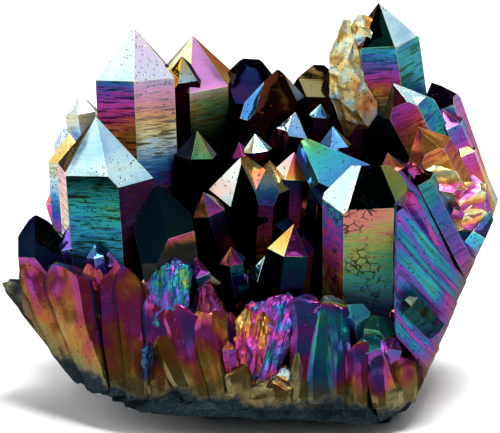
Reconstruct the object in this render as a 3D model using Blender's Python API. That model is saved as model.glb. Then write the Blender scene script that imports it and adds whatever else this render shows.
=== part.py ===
"""Quartz crystal cluster with a titanium aura coating: one solid of intergrown crystals on their matrix.

Each crystal is a six-sided bar with six pyramid faces at quartz's own angle, cut to shape by planes.
A Boolean union grows them together with a lump of matrix, and the underside is trimmed to a shallow
bowl that stands on a flat cut.

Sizes below are in millimetres: x runs to the right, y to the back, z up from the flat cut.
"""
import math
import random
from collections import namedtuple

import bmesh
import bpy
from mathutils import Matrix, Vector, noise

MM = 0.001                      # metres in a millimetre
NAME = "quartz_cluster"
CENTRE = (0.46, 3.8, 0)         # middle of the cluster's box on the floor, in the tables' millimetres
CAP_SLOPE = math.radians(38.2)  # how far a pyramid face's normal rises above the prism's
ROOT_HEIGHT = 6.0               # crystals reach down to this height inside the matrix
CUT_REACH = 1e-4                # corners this near a cut plane count as on it
FLAT = math.radians(0.5)        # facets that meet flatter than this are one face

# side: lean to the right, back: lean to the back, spin: turn of the front face to the right, all in
# degrees. half is the distance from axis to prism face. prism and cap move single faces outward,
# numbered from 0 at the front to the right, with -1 and -2 to the left.
# blunt is how far below the tip its point is broken off.
Crystal = namedtuple("Crystal", "tip side back spin half prism cap root blunt", defaults=({}, {}, ROOT_HEIGHT, 0))

MAIN = {
    "front_left": Crystal((-24.5, -1, 46.7), -3, 0, -16, 6.9, {-1: -0.8, 0: -0.5, 1: 0.9, 2: 0.8}),
    "front_left_twin": Crystal((-29.5, 8, 41.9), -3, 6, -35, 3.4),
    "back_left": Crystal((-19, 14, 58.3), -2, 6, -30, 6.4),
    "back_middle": Crystal((-9.5, 18, 56.2), -1.5, -9, 25, 6.0),
    "back_middle_twin": Crystal((-11.2, 14.5, 53.4), -2, -12, 18, 3.2, {-1: 0.3, 0: -0.4}),
    "centre_back": Crystal((4.6, 12, 52.0), 1, -1, 9, 4.4, {-1: 2.9, 1: -0.5, 2: -0.4}, {0: -0.5, -1: -0.3}),
    "centre_back_left": Crystal((1.4, 20, 52.2), 4, 4, 6, 5.0, {-1: 0.8}, {-2: 1.8, -1: 1.2, 0: -0.6}),
    "centre_back_right": Crystal((11.4, 17, 52.4), 2, 4, 4, 3.8, {}, {-1: 1.0, 0: -0.6, 1: 1.0, 3: -0.6}),
    "tall_right": Crystal((21, 14, 62.4), -14, -12, -13, 4.5, {-1: -0.9, 1: 0.2, 2: 0.7}),
    "leaning_right": Crystal((23, 6, 50.7), -28, -3, -11, 3.6, {0: -0.8, 2: 0.8}, {0: 0.3, 1: 0.2}),
    "leaning_right_low": Crystal((27.0, 2, 44.4), -27, -8, 8, 3.3, {-1: 0.4}, {0: 0.4}),
    "right_back": Crystal((29.8, 13, 49.3), -20, 0, 5, 3.2, {}, {1: 0.6}),
    "centre_slab": Crystal((8.5, 2, 42.7), -32, 15, -40, 6.0, {-1: -3.5, 1: 6.6, 2: 3.0}, {-1: 0.6, 1: -0.5}),
    "front_right": Crystal((18.7, -10, 43.9), -1, -16, 3, 5.6, {-1: 1.2, -2: 0.6, 2: -1.0}, {0: -0.5}, blunt=3.0),
    "centre": Crystal((-1.4, -2, 40.0), -11, -10, -7, 5.4, {-2: 2.0, -1: -0.8, 0: 1.5}, {0: 0.3}),
    "centre_right": Crystal((3.2, 0, 39.3), 3, -4, -4, 3.4, {0: 1.3, 2: 0.6}),
    "centre_right_thin": Crystal((7.1, 2, 40.2), 8, -4, 14, 3.0),
    "front_centre_left": Crystal((-14.7, -6, 37.3), -8, 2, 38, 4.8, {-1: 3.0, 0: 0.5, 1: -0.4}, {-1: -0.8, 0: -0.8}),
    "far_left": Crystal((-34.2, -3, 31.9), -4, 3, -30, 3.8, {-1: -0.6, 0: 0.3, 1: 3.6}, {0: -1.0, 1: -1.3}),
    "far_left_low": Crystal((-40.0, -2.5, 19.6), -58, -6, 20, 3.9, root=10),
    "right_tip": Crystal((39.0, 2, 31.4), 38, -6, 8, 2.8, {1: 0.6}, {1: 0.5}, 14),
}

FLANK = {
    # leaf-like side crystals down the front, left to right
    "leaf_a": Crystal((-33.4, -6, 24.0), -20, 10, 10, 1.8, {2: 0.4}, {}, 2),
    "leaf_b": Crystal((-30.6, -9.5, 25.2), -17, 9, -6, 3.3, {1: 0.8}, {0: -0.4}, 2),
    "leaf_c": Crystal((-26.4, -12.5, 21.8), -16, 8, 8, 2.1, {}, {}, 2),
    "leaf_d": Crystal((-22.8, -12.5, 28.6), -13, 11, 12, 2.5, {}, {}, 2),
    "leaf_e": Crystal((-19.4, -14.5, 25.4), -14, 8, -10, 2.4, {1: 0.4}, {}, 2),
    "leaf_f": Crystal((-15.8, -15, 20.4), -8, 9, 14, 2.0, {}, {}, 2),
    "leaf_g": Crystal((-12.0, -15.5, 27.2), -10, 8, 6, 2.8, {1: 0.5}, {1: 0.4}, 2),
    "leaf_h": Crystal((-8.0, -16.5, 22.0), -15, 7, -12, 2.5, {}, {}, 2),
    "leaf_i": Crystal((-3.8, -19.4, 14.8), -10, 4, 4, 1.5, {}, {}, 2),
    "leaf_j": Crystal((3.4, -16.5, 22.6), 12, 7, 10, 3.8, {-1: 0.6}, {}, 2),
    "leaf_k": Crystal((7.2, -17.6, 22.6), -6, 6, -14, 2.3, {}, {}, 2),
    "leaf_l": Crystal((10.8, -18.0, 20.8), 2, 6, 6, 2.9, {}, {}, 2),
    "leaf_m": Crystal((15.4, -19.6, 15.6), -4, 4, 14, 2.2, {}, {}, 2),
    "leaf_n": Crystal((19.8, -18.6, 14.6), -16, 4, -8, 2.2, {}, {}, 2),
    "leaf_o": Crystal((24.4, -16.4, 12.6), -14, 4, 10, 2.0, {}, {}, 2),
    "front_low": Crystal((6.9, -10.5, 31.6), 6, -6, 12, 3.3),
    # long slanting crystals down the right side, front to back
    "right_shaft_a": Crystal((21.0, -16.0, 29.6), -25, 0, 22, 2.2),
    "right_shaft_b": Crystal((21.2, -13.6, 34.6), -26, -3, 16, 2.3),
    "right_shaft_c": Crystal((21.6, -10.8, 39.0), -27, -5, 24, 2.2),
    "right_shaft_d": Crystal((23.2, -8, 39.4), -27, -6, 20, 2.0),
    "right_shaft_e": Crystal((26.0, -4, 39.4), -27, -5, 12, 2.0),
    "right_shaft_f": Crystal((31.2, 8, 45.9), -24, 2, 16, 2.3),
    "right_shaft_g": Crystal((33.6, 7, 41.4), -20, 4, 20, 2.2),
    "right_shaft_h": Crystal((35.4, 5, 36.4), -16, 4, 24, 2.1),
}

HOLLOW = {
    # middle-sized crystals in the hollow between the large ones
    "hollow_a": Crystal((-8.6, 8, 42.4), 4, 0, 20, 3.2),
    "hollow_b": Crystal((-7.4, -3, 34.9), -16, -8, 28, 2.6),
    "hollow_c": Crystal((9.2, 8, 45.9), 12, 6, 24, 2.9, {}, {-1: 0.4}),
    "hollow_d": Crystal((11.5, 9, 46.6), 6, 0, 8, 1.6),
    "hollow_e": Crystal((0.8, 4, 42.8), -6, 4, 14, 2.2),
    "hollow_f": Crystal((-1.8, 4, 41.4), -14, 0, 34, 1.7),
    "hollow_g": Crystal((13.4, 6, 43.6), -4, 4, 18, 2.6),
    "hollow_h": Crystal((-3.0, -9.5, 27.6), -6, -10, 20, 1.9),
    "hollow_i": Crystal((2.4, -9.0, 26.0), 2, -8, 8, 2.6),
    "hollow_j": Crystal((22.0, 0, 40.6), -16, -4, 24, 2.2),
}

BACK = {
    # the side away from the main view
    "back_a": Crystal((-28.4, 18, 46.4), -8, 10, 20, 2.6),
    "back_b": Crystal((-25.6, 19.5, 43.6), -4, 12, -10, 2.2),
    "back_c": Crystal((-31.0, 15, 41.4), -14, 8, 5, 2.0),
    "back_d": Crystal((-14.5, 25, 43.0), -4, 14, 12, 4.4, {1: 0.4}),
    "back_e": Crystal((-3.5, 26, 38.5), 2, 20, 26, 3.8),
    "back_f": Crystal((7.5, 25.5, 43.5), 4, 14, 4, 4.2, {0: 0.5}),
    "back_g": Crystal((18.5, 24, 46.0), 6, 10, -18, 4.6, {2: 0.6}),
    "back_h": Crystal((27.5, 21.5, 41.5), 4, 8, 8, 4.4),
    "back_i": Crystal((-24.0, 22, 33.0), -18, 20, 14, 3.6),
    "back_j": Crystal((33.0, 14, 36.0), 6, 10, -4, 3.4),
    "back_k": Crystal((-31.8, 11, 34.0), -18, 10, 22, 3.0),
}

# Flat cut and sloping sides of the underside: a point on each plane and its outward direction.
UNDERSIDE = (
    ((0, 0, 0), (0, 0, -1)),
    ((0, -12, 0), (-0.05, -0.31, -0.95)),
    ((0, -23.2, 0), (0, -1, 0.05)),
    ((-12, 0, 0), (-0.31, -0.08, -0.95)),
    ((-27.6, 0, 4.9), (-0.75, -0.05, -0.66)),
    ((-28.5, -14, 0), (-0.60, -0.80, 0)),
    ((26.4, 0, 0.5), (0.91, -0.12, -0.40)),
    ((24, -16, 2.5), (0.55, -0.40, -0.73)),
    ((33.5, -15, 0), (0.66, -0.75, 0)),
    ((0, 19, 1), (0, 0.86, -0.51)),
    ((20, 14, 1), (0.60, 0.62, -0.50)),
    ((-19, 14, 1), (-0.60, 0.60, -0.53)),
)

MATRIX_RADII = (40.0, 24.5, 15.5)
MATRIX_LUMPS = 1.6              # height of the matrix's lumps
MATRIX_WAVES = 0.16             # lumps per millimetre
MATRIX_SEED = 3.1
# Broken lumps, each a middle and its radii: the fracture on the right and the slab beside the tallest crystal.
BROKEN = (
    ((29.6, 2, 31.5), (4.4, 4.4, 4.4)),
    ((33.0, 0.5, 29.4), (4.4, 4.2, 4.0)),
    ((31.6, -2.5, 26.8), (4.0, 4.0, 4.2)),
    ((35.4, 1.5, 27.9), (3.4, 3.4, 3.4)),
    ((16.7, 14.0, 52.0), (3.2, 2.8, 6.4)),
    ((18.7, 14.2, 56.8), (2.0, 2.2, 3.4)),
    ((17.9, 13.6, 46.8), (2.8, 2.8, 4.6)),
)

BREAKS = 18                     # chips that shape each broken lump
CHIP_DEPTH = (0.72, 1.05)       # nearest and farthest chip from a lump's middle, in its radii

DRUSE_COUNT = 90                # small crystals in the hollow between the large ones
DRUSE_HALF = (0.7, 1.9)
DRUSE_RISE = (2.5, 10.0)        # how far their tips stand above the matrix
DRUSE_AREA = (33.0, 19.0)       # half width and half depth of the floor that they cover
DRUSE_ROUND = 36.0              # where that floor's ends close, from the middle
DRUSE_LEAN = 16                 # how far they lean at random, in degrees

FOOT_COUNT = 17                 # short side crystals along the front rim
FOOT_SPAN = (-30.0, 26.0)
FOOT_HALF = (1.7, 2.5)
FOOT_TOP = 11.5                 # height of the lower row of their tips
FOOT_STEP = 4.0                 # how much higher every second one stands
FOOT_LEFT = 6.0                 # how much higher the row climbs to its left end
RIM_FRONT = -20.0               # front of the rim in the middle
RIM_CURVE = 0.0135              # how fast the rim curves back to the sides, per millimetre

OUTER_COUNT = 46                # side crystals round the left, the back and the right
OUTER_RING = (32.0, 20.0)       # half width and half depth of the ring of their tips
OUTER_FROM, OUTER_TURN = 200, 235   # where the ring starts and how far round it runs, in degrees
OUTER_HALF = (1.8, 3.0)
OUTER_TOP = 17                  # height of the lower row of their tips
OUTER_STEP = 9                  # how much higher the upper row stands
OUTER_INSET = 0.06              # how far the upper row stands in, as a share of the ring
OUTER_LEAN = 12                 # how far they lean outward, in degrees


def crystal_frame(side, back):
    """Directions of a crystal that leans: across, away from the front, and along its axis."""
    axis = Vector((math.tan(math.radians(side)), math.tan(math.radians(back)), 1)).normalized()
    away = axis.cross(Vector((1, 0, 0))).normalized()
    return away.cross(axis), away, axis


def crystal_planes(spec):
    """The twelve growth faces of a crystal, each as a point and an outward direction."""
    across, away, axis = crystal_frame(spec.side, spec.back)
    tip = Vector(spec.tip)
    planes = []
    for face in range(-2, 4):
        turn = math.radians(spec.spin + 60 * face)
        outward = across * math.sin(turn) - away * math.cos(turn)
        planes.append((tip + outward * (spec.half + spec.prism.get(face, 0)), outward))
        slope = outward * math.cos(CAP_SLOPE) + axis * math.sin(CAP_SLOPE)
        planes.append((tip + slope * spec.cap.get(face, 0), slope))
    return planes


def cut_by_planes(bm, planes):
    """Keep the inner side of every plane, close each cut, and leave one flat face on each side."""
    for point, outward in planes:
        geometry = bm.verts[:] + bm.edges[:] + bm.faces[:]
        bmesh.ops.bisect_plane(
            bm, geom=geometry, dist=CUT_REACH, plane_co=point, plane_no=outward, clear_outer=True)
        bmesh.ops.holes_fill(bm, edges=[edge for edge in bm.edges if edge.is_boundary])
    bmesh.ops.remove_doubles(bm, verts=bm.verts, dist=10 * CUT_REACH)
    bmesh.ops.delete(bm, geom=bm.edges[:], context="EDGES_FACES")
    hull = bmesh.ops.convex_hull(bm, input=bm.verts)
    inside = [item for item in hull["geom_interior"] if isinstance(item, bmesh.types.BMVert)]
    bmesh.ops.delete(bm, geom=inside, context="VERTS")
    bmesh.ops.dissolve_limit(bm, angle_limit=FLAT, verts=bm.verts, edges=bm.edges)


def new_piece(bm, name, collection):
    """Turn a bmesh in millimetres into an object in metres with its faces pointing out."""
    bmesh.ops.recalc_face_normals(bm, faces=bm.faces)
    bmesh.ops.translate(bm, vec=-Vector(CENTRE), verts=bm.verts)
    bmesh.ops.scale(bm, vec=(MM, MM, MM), verts=bm.verts)
    mesh = bpy.data.meshes.new(name)
    bm.to_mesh(mesh)
    bm.free()
    piece = bpy.data.objects.new(name, mesh)
    collection.objects.link(piece)
    return piece


def add_crystal(name, spec, collection):
    """A hexagonal bar around the crystal's axis, cut to its own prism and pyramid faces."""
    across, away, axis = crystal_frame(spec.side, spec.back)
    tip = Vector(spec.tip)
    length = (tip.z - spec.root) / axis.z
    reach = 3 * spec.half + 6
    bm = bmesh.new()
    bmesh.ops.create_cone(
        bm, cap_ends=True, segments=6, radius1=reach, radius2=reach, depth=length + 2 * reach)
    bmesh.ops.translate(bm, vec=(0, 0, reach - length / 2), verts=bm.verts)
    turn = Matrix((across, away, axis)).transposed().to_4x4()
    bmesh.ops.transform(bm, matrix=Matrix.Translation(tip) @ turn, verts=bm.verts)
    foot = (tip - axis * length, -axis)
    top = (tip - axis * spec.blunt, axis)
    cut_by_planes(bm, crystal_planes(spec) + [foot, top])
    return new_piece(bm, name, collection)


def uneven(spec, rng, spread=0.12):
    """The same crystal with its faces grown a little unevenly, as real ones are."""
    prism = {face: spec.prism.get(face, 0) + rng.uniform(-spread, spread) * spec.half for face in range(-2, 4)}
    cap = {face: spec.cap.get(face, 0) + rng.uniform(-spread, spread) * spec.half for face in range(-2, 4)}
    return spec._replace(prism=prism, cap=cap)


def add_matrix(name, collection):
    """The stone under the crystals: an icosphere stretched to its radii and lumpy with smooth noise."""
    bm = bmesh.new()
    bmesh.ops.create_icosphere(bm, subdivisions=3, radius=1)
    for vert in bm.verts:
        out = vert.co.copy()
        vert.co = Vector([c * r for c, r in zip(vert.co, MATRIX_RADII)])
        wave = noise.noise(vert.co * MATRIX_WAVES + Vector((MATRIX_SEED, 0, 0)))
        vert.co += out * MATRIX_LUMPS * wave
    return new_piece(bm, name, collection)


def add_broken_block(name, middle, radii, rng, collection):
    """A broken lump: a coarse ball chipped flat by random planes, then stretched to its radii."""
    bm = bmesh.new()
    bmesh.ops.create_icosphere(bm, subdivisions=2, radius=1.25)
    chips = []
    for chip in range(BREAKS):
        outward = Vector((rng.gauss(0, 1), rng.gauss(0, 1), rng.gauss(0, 1))).normalized()
        chips.append((outward * rng.uniform(*CHIP_DEPTH), outward))
    cut_by_planes(bm, chips)
    bmesh.ops.scale(bm, vec=radii, verts=bm.verts)
    bmesh.ops.translate(bm, vec=middle, verts=bm.verts)
    return new_piece(bm, name, collection)


def matrix_height(x, y):
    """Height of the matrix's top at a place in plan, before its lumps."""
    inside = max(0.0, 1 - (x / MATRIX_RADII[0]) ** 2 - (y / MATRIX_RADII[1]) ** 2)
    return MATRIX_RADII[2] * math.sqrt(inside)


def druse_crystals(rng):
    """Small crystals that fill the floor between the large ones, in no order."""
    for index in range(DRUSE_COUNT):
        x = rng.uniform(-1, 1) * DRUSE_AREA[0]
        y = rng.uniform(-1, 1) * DRUSE_AREA[1] * math.sqrt(max(0.05, 1 - (x / DRUSE_ROUND) ** 2))
        half = rng.uniform(*DRUSE_HALF)
        z = matrix_height(x, y) + rng.uniform(*DRUSE_RISE)
        side = -8 + 0.5 * x + rng.uniform(-DRUSE_LEAN, DRUSE_LEAN)
        back = 0.8 * y + rng.uniform(-DRUSE_LEAN, DRUSE_LEAN)
        yield f"druse_{index}", uneven(Crystal((x, y, z), side, back, rng.uniform(0, 60), half), rng)


def foot_crystals(rng):
    """A row of short side crystals that stand on the front rim and lean with their neighbours."""
    for index in range(FOOT_COUNT):
        share = index / (FOOT_COUNT - 1)
        x = FOOT_SPAN[0] + (FOOT_SPAN[1] - FOOT_SPAN[0]) * share + rng.uniform(-0.6, 0.6)
        y = RIM_FRONT + RIM_CURVE * x * x
        z = FOOT_TOP + FOOT_STEP * (index % 2) + rng.uniform(-1.5, 2.5) + FOOT_LEFT * max(0.0, 0.3 - share)
        spec = Crystal((x, y, z), -16 + 8 * share, 4, rng.uniform(-25, 25), rng.uniform(*FOOT_HALF), root=1)
        yield f"foot_{index}", uneven(spec, rng)


def outer_crystals(rng):
    """Side crystals from the left end round the back to the right end, leaning outward."""
    for index in range(OUTER_COUNT):
        share = (index + 0.5) / OUTER_COUNT
        angle = math.radians(OUTER_FROM - OUTER_TURN * share)
        row = index % 2
        reach = 1.0 - OUTER_INSET * row
        x = OUTER_RING[0] * math.cos(angle) * reach
        y = OUTER_RING[1] * math.sin(angle) * reach
        z = OUTER_TOP + OUTER_STEP * row + rng.uniform(-3, 4)
        side = OUTER_LEAN * math.cos(angle) + rng.uniform(-6, 4)
        back = OUTER_LEAN * math.sin(angle) + rng.uniform(-6, 4)
        half = rng.uniform(*OUTER_HALF)
        yield f"outer_{index}", uneven(Crystal((x, y, z), side, back, rng.uniform(0, 60), half, root=2), rng)


def add_envelope(collection):
    """The space that the cluster was trimmed to: a big block cut by the underside's planes."""
    bm = bmesh.new()
    bmesh.ops.create_cube(bm, size=200)
    cut_by_planes(bm, [(Vector(point), Vector(outward)) for point, outward in UNDERSIDE])
    return new_piece(bm, "underside_trim", collection)


def coated_quartz():
    """Metallic coating with a violet-blue cast, standing for the rainbow film."""
    material = bpy.data.materials.new("titanium_aura_quartz")
    material.use_nodes = True
    shader = material.node_tree.nodes["Principled BSDF"]
    shader.inputs["Base Color"].default_value = (0.23, 0.20, 0.52, 1)
    shader.inputs["Metallic"].default_value = 1.0
    shader.inputs["Roughness"].default_value = 0.18
    return material


def hide_cutter(cutter):
    """Mark an object as a tool that shapes others and isn't part of the model."""
    cutter.hide_render = True
    cutter.display_type = "WIRE"


def boolean(piece, operation, **operand):
    """Add an exact Boolean modifier."""
    modifier = piece.modifiers.new(operation.lower(), "BOOLEAN")
    modifier.operation = operation
    modifier.solver = "EXACT"
    for key, value in operand.items():
        setattr(modifier, key, value)


def shells(bm):
    """The closed surfaces of a mesh that don't touch each other, each as a list of faces."""
    left = set(bm.faces)
    while left:
        shell = [left.pop()]
        for face in shell:
            for edge in face.edges:
                for other in edge.link_faces:
                    if other in left:
                        left.remove(other)
                        shell.append(other)
        yield shell


def spread(shell):
    """Length of the diagonal of a shell's box."""
    corners = [vert.co for face in shell for vert in face.verts]
    low = Vector([min(corner[axis] for corner in corners) for axis in range(3)])
    high = Vector([max(corner[axis] for corner in corners) for axis in range(3)])
    return (high - low).length


def solidify_growth(cluster):
    """Apply the joins and fill the pockets that they closed in, so one outer surface is left."""
    graph = bpy.context.evaluated_depsgraph_get()
    bm = bmesh.new()
    bm.from_mesh(bpy.data.meshes.new_from_object(cluster.evaluated_get(graph)))
    outer = set(max(shells(bm), key=spread))
    pockets = [face for face in bm.faces if face not in outer]
    bmesh.ops.delete(bm, geom=pockets, context="FACES")
    cluster.modifiers.clear()
    bm.to_mesh(cluster.data)
    bm.free()


def main():
    """Grow the crystals, join them with their matrix and trim the underside."""
    for old in list(bpy.data.objects):
        bpy.data.objects.remove(old, do_unlink=True)
    parts = bpy.data.collections.new(NAME)
    growth = bpy.data.collections.new("growth")
    cutters = bpy.data.collections.new("cutters")
    for collection in (parts, growth, cutters):
        bpy.context.scene.collection.children.link(collection)

    rng = random.Random(11)
    for table in (MAIN, FLANK, HOLLOW, BACK):
        for name, spec in table.items():
            add_crystal(name, spec, growth)
    for name, spec in [*druse_crystals(rng), *foot_crystals(rng), *outer_crystals(rng)]:
        add_crystal(name, spec, growth)
    for index, (middle, radii) in enumerate(BROKEN):
        add_broken_block(f"broken_{index}", middle, radii, rng, growth)
    cluster = add_matrix(NAME, parts)
    cluster.data.materials.append(coated_quartz())
    trim = add_envelope(cutters)
    for tool in list(growth.objects) + [trim]:
        hide_cutter(tool)

    boolean(cluster, "UNION", operand_type="COLLECTION", collection=growth)
    boolean(cluster, "INTERSECT", object=trim)
    solidify_growth(cluster)


main()
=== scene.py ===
"""Quartz crystal cluster with a titanium aura coating, dressed for the studio.

Every crystal is a convex body bounded by its growth faces. Its corners are worked out from the planes
of those faces, each face becomes a grid of two parameters with the slight relief of natural quartz,
and the rainbow film is laid on as a thickness that falls from the tips to the foot of the cluster.

Sizes are in millimetres in the cluster's own frame: x runs to the right, y to the back, z up from
the flat cut. They are turned into metres when a piece is made.
"""

import itertools
import math
import random
from collections import namedtuple
from types import SimpleNamespace

import bpy
import numpy as np
from bpy.props import FloatProperty, FloatVectorProperty, IntProperty, PointerProperty
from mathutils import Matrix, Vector


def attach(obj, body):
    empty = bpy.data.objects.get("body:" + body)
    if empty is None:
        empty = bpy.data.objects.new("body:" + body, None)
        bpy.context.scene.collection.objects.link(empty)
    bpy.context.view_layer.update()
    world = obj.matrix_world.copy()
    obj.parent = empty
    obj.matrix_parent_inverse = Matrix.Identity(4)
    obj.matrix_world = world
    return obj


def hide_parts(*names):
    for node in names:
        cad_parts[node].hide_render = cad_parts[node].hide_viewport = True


bl_info = {
    "name": "Titanium aura quartz cluster",
    "version": (1, 0, 0),
    "blender": (4, 5, 0),
    "location": "3D View > Sidebar > Quartz",
    "description": "Grows a cluster of quartz crystals with a rainbow metallic film",
    "category": "Object",
}

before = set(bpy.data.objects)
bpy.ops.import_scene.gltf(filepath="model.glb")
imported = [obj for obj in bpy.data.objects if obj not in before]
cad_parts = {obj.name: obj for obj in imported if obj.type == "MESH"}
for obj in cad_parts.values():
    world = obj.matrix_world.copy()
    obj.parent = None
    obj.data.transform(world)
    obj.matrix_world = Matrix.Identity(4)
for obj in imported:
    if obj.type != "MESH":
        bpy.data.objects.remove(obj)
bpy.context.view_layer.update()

NODE = "quartz_cluster"
MM = 0.001                      # metres in a millimetre
CENTRE = np.array((0.46, 3.8, 0.0))  # where the origin lies in the cluster's own frame
CAP_SLOPE = math.radians(38.2)  # how far a pyramid face's normal rises above the prism's
ROOT_HEIGHT = 6.0               # where a crystal is rooted, unless it has a root of its own
BREAK_SLOPE = 0.55              # a broken tip slopes back by this much for one up
FRONT, SIDES = range(-1, 2), range(-2, 4)   # numbers of the three front faces and of all six
FAR = 1e9                       # further than any point
WELD_DIGITS = 3                 # points that agree to so many decimals of a millimetre are welded
SAME_CORNER, ON_PLANE = 2e-3, 3e-3  # how near two corners, or a corner and a plane, count as one
WORN_FROM = 24                  # degrees between faces from which their edge is worn round
SMALL_GRID = 5                  # steps across a quarter of a small crystal's face

# side: lean to the right, back: lean to the back, spin: turn of the front face to the right, all in
# degrees. half is the distance from axis to prism face. prism and cap move single faces outward,
# numbered from 0 at the front to the right, with -1 and -2 to the left.
# blunt is how far below the tip its point is broken off.
Crystal = namedtuple("Crystal", "tip side back spin half prism cap root blunt",
                     defaults=({}, {}, ROOT_HEIGHT, 0))

MAIN = {
    "front_left": Crystal((-24.5, -1, 46.7), -3, 0, -16, 6.9, {-1: -0.8, 0: -0.5, 1: 0.9, 2: 0.8}),
    "front_left_twin": Crystal((-29.5, 8, 41.9), -3, 6, -35, 3.4),
    "back_left": Crystal((-19, 14, 58.3), -2, 6, -30, 6.4),
    "back_middle": Crystal((-9.5, 18, 56.2), -1.5, -9, 25, 6),
    "back_middle_twin": Crystal((-11.2, 14.5, 53.4), -2, -12, 18, 3.2, {-1: 0.3, 0: -0.4}),
    "centre_back": Crystal((4.6, 12, 52), 1, -1, 9, 4.4, {-1: 2.6, 1: -0.5, 2: -0.4}, {0: -0.6, -1: 0.7}),
    "centre_back_left": Crystal((1.4, 20, 52.2), 4, 4, 6, 5, {-1: 0.8}, {-2: 1.8, -1: 1.2, 0: -0.6}),
    "centre_back_right": Crystal((11.4, 17, 52.4), 2, 4, 4, 3.8, {}, {-1: 1, 0: -0.6, 1: 1, 3: -0.6}),
    "tall_right": Crystal((21, 14, 62.4), -9, -9, -14, 4.5, {-1: 0.5, 0: 0.2, 1: 0.4, 2: 0.7}),
    "leaning_right": Crystal((23, 6, 50.7), -28, -3, -11, 3.6, {0: -0.8, 2: 0.8}, {0: 0.3, 1: 0.2}),
    "leaning_right_low": Crystal((27, 2, 44.4), -27, -8, 8, 3.3, {-1: 0.4}, {0: 0.4}),
    "right_back": Crystal((29.8, 13, 49.3), -20, 0, 5, 3.2, {}, {1: 0.6}),
    "centre_slab": Crystal((8.5, 2, 42.7), -32, 15, -40, 6, {-1: -3.5, 1: 6.6, 2: 3}, {-1: 0.6, 1: -0.5},
        28),
    "front_right": Crystal((18.7, -10, 43.9), -1, -16, 3, 5.6, {-1: 1.2, -2: 0.6, 2: -1}, {0: -0.5},
        blunt=2.9),
    "centre": Crystal((-0.8, -2, 40.7), -1.5, -25, 8, 5.2, {-2: 3.4, 0: 1.5, 1: 2.8},
        {-2: 0.2, -1: 0.2, 1: -0.8}),
    "centre_right": Crystal((3.2, 0, 39.3), 3, -4, -4, 3.4, {0: 1.3, 2: 0.6}),
    "centre_right_thin": Crystal((7.1, 2, 40.2), 8, -4, 14, 3),
    "front_centre_left": Crystal((-14.7, -6, 37.3), -8, 2, 38, 4.8, {-1: 3, 0: 0.5, 1: -0.4},
        {-1: -0.8, 0: -0.8}),
    "far_left": Crystal((-34.2, -3, 31.9), -4, 3, -30, 3.8, {-1: -0.6, 0: 0.3, 1: 3.6}, {0: -1, 1: -1.3}),
    "far_left_low": Crystal((-40, -2.5, 19.6), -58, -6, 20, 3.9, root=10),
    "right_tip": Crystal((38.6, -1, 31.2), 34, -6, 8, 2.8, {1: 0.6}, {1: 0.5}, 14),
}

# Side crystals grown edge on, like leaves: the visible line from foot to tip, half the width at the
# shoulder, the way it faces (degrees to the right of the front), and the film in the middle, at the edges,
# at the foot and at the top. shape is the share of its width at the foot and how far up the shoulder lies,
# folds the panels of its front, climb how many millimetres over the rim the film takes to reach its value
# in the middle, and the last field its brightness, which is painted shade where it is under 1. A banded
# leaf is a sheet of long flat crystals side by side, each with its own edges.
Leaf = namedtuple("Leaf", "foot tip half face film shape folds climb banded tone",
                  defaults=((0.35, 0.68), 4, 9, False, 0.5))

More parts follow.
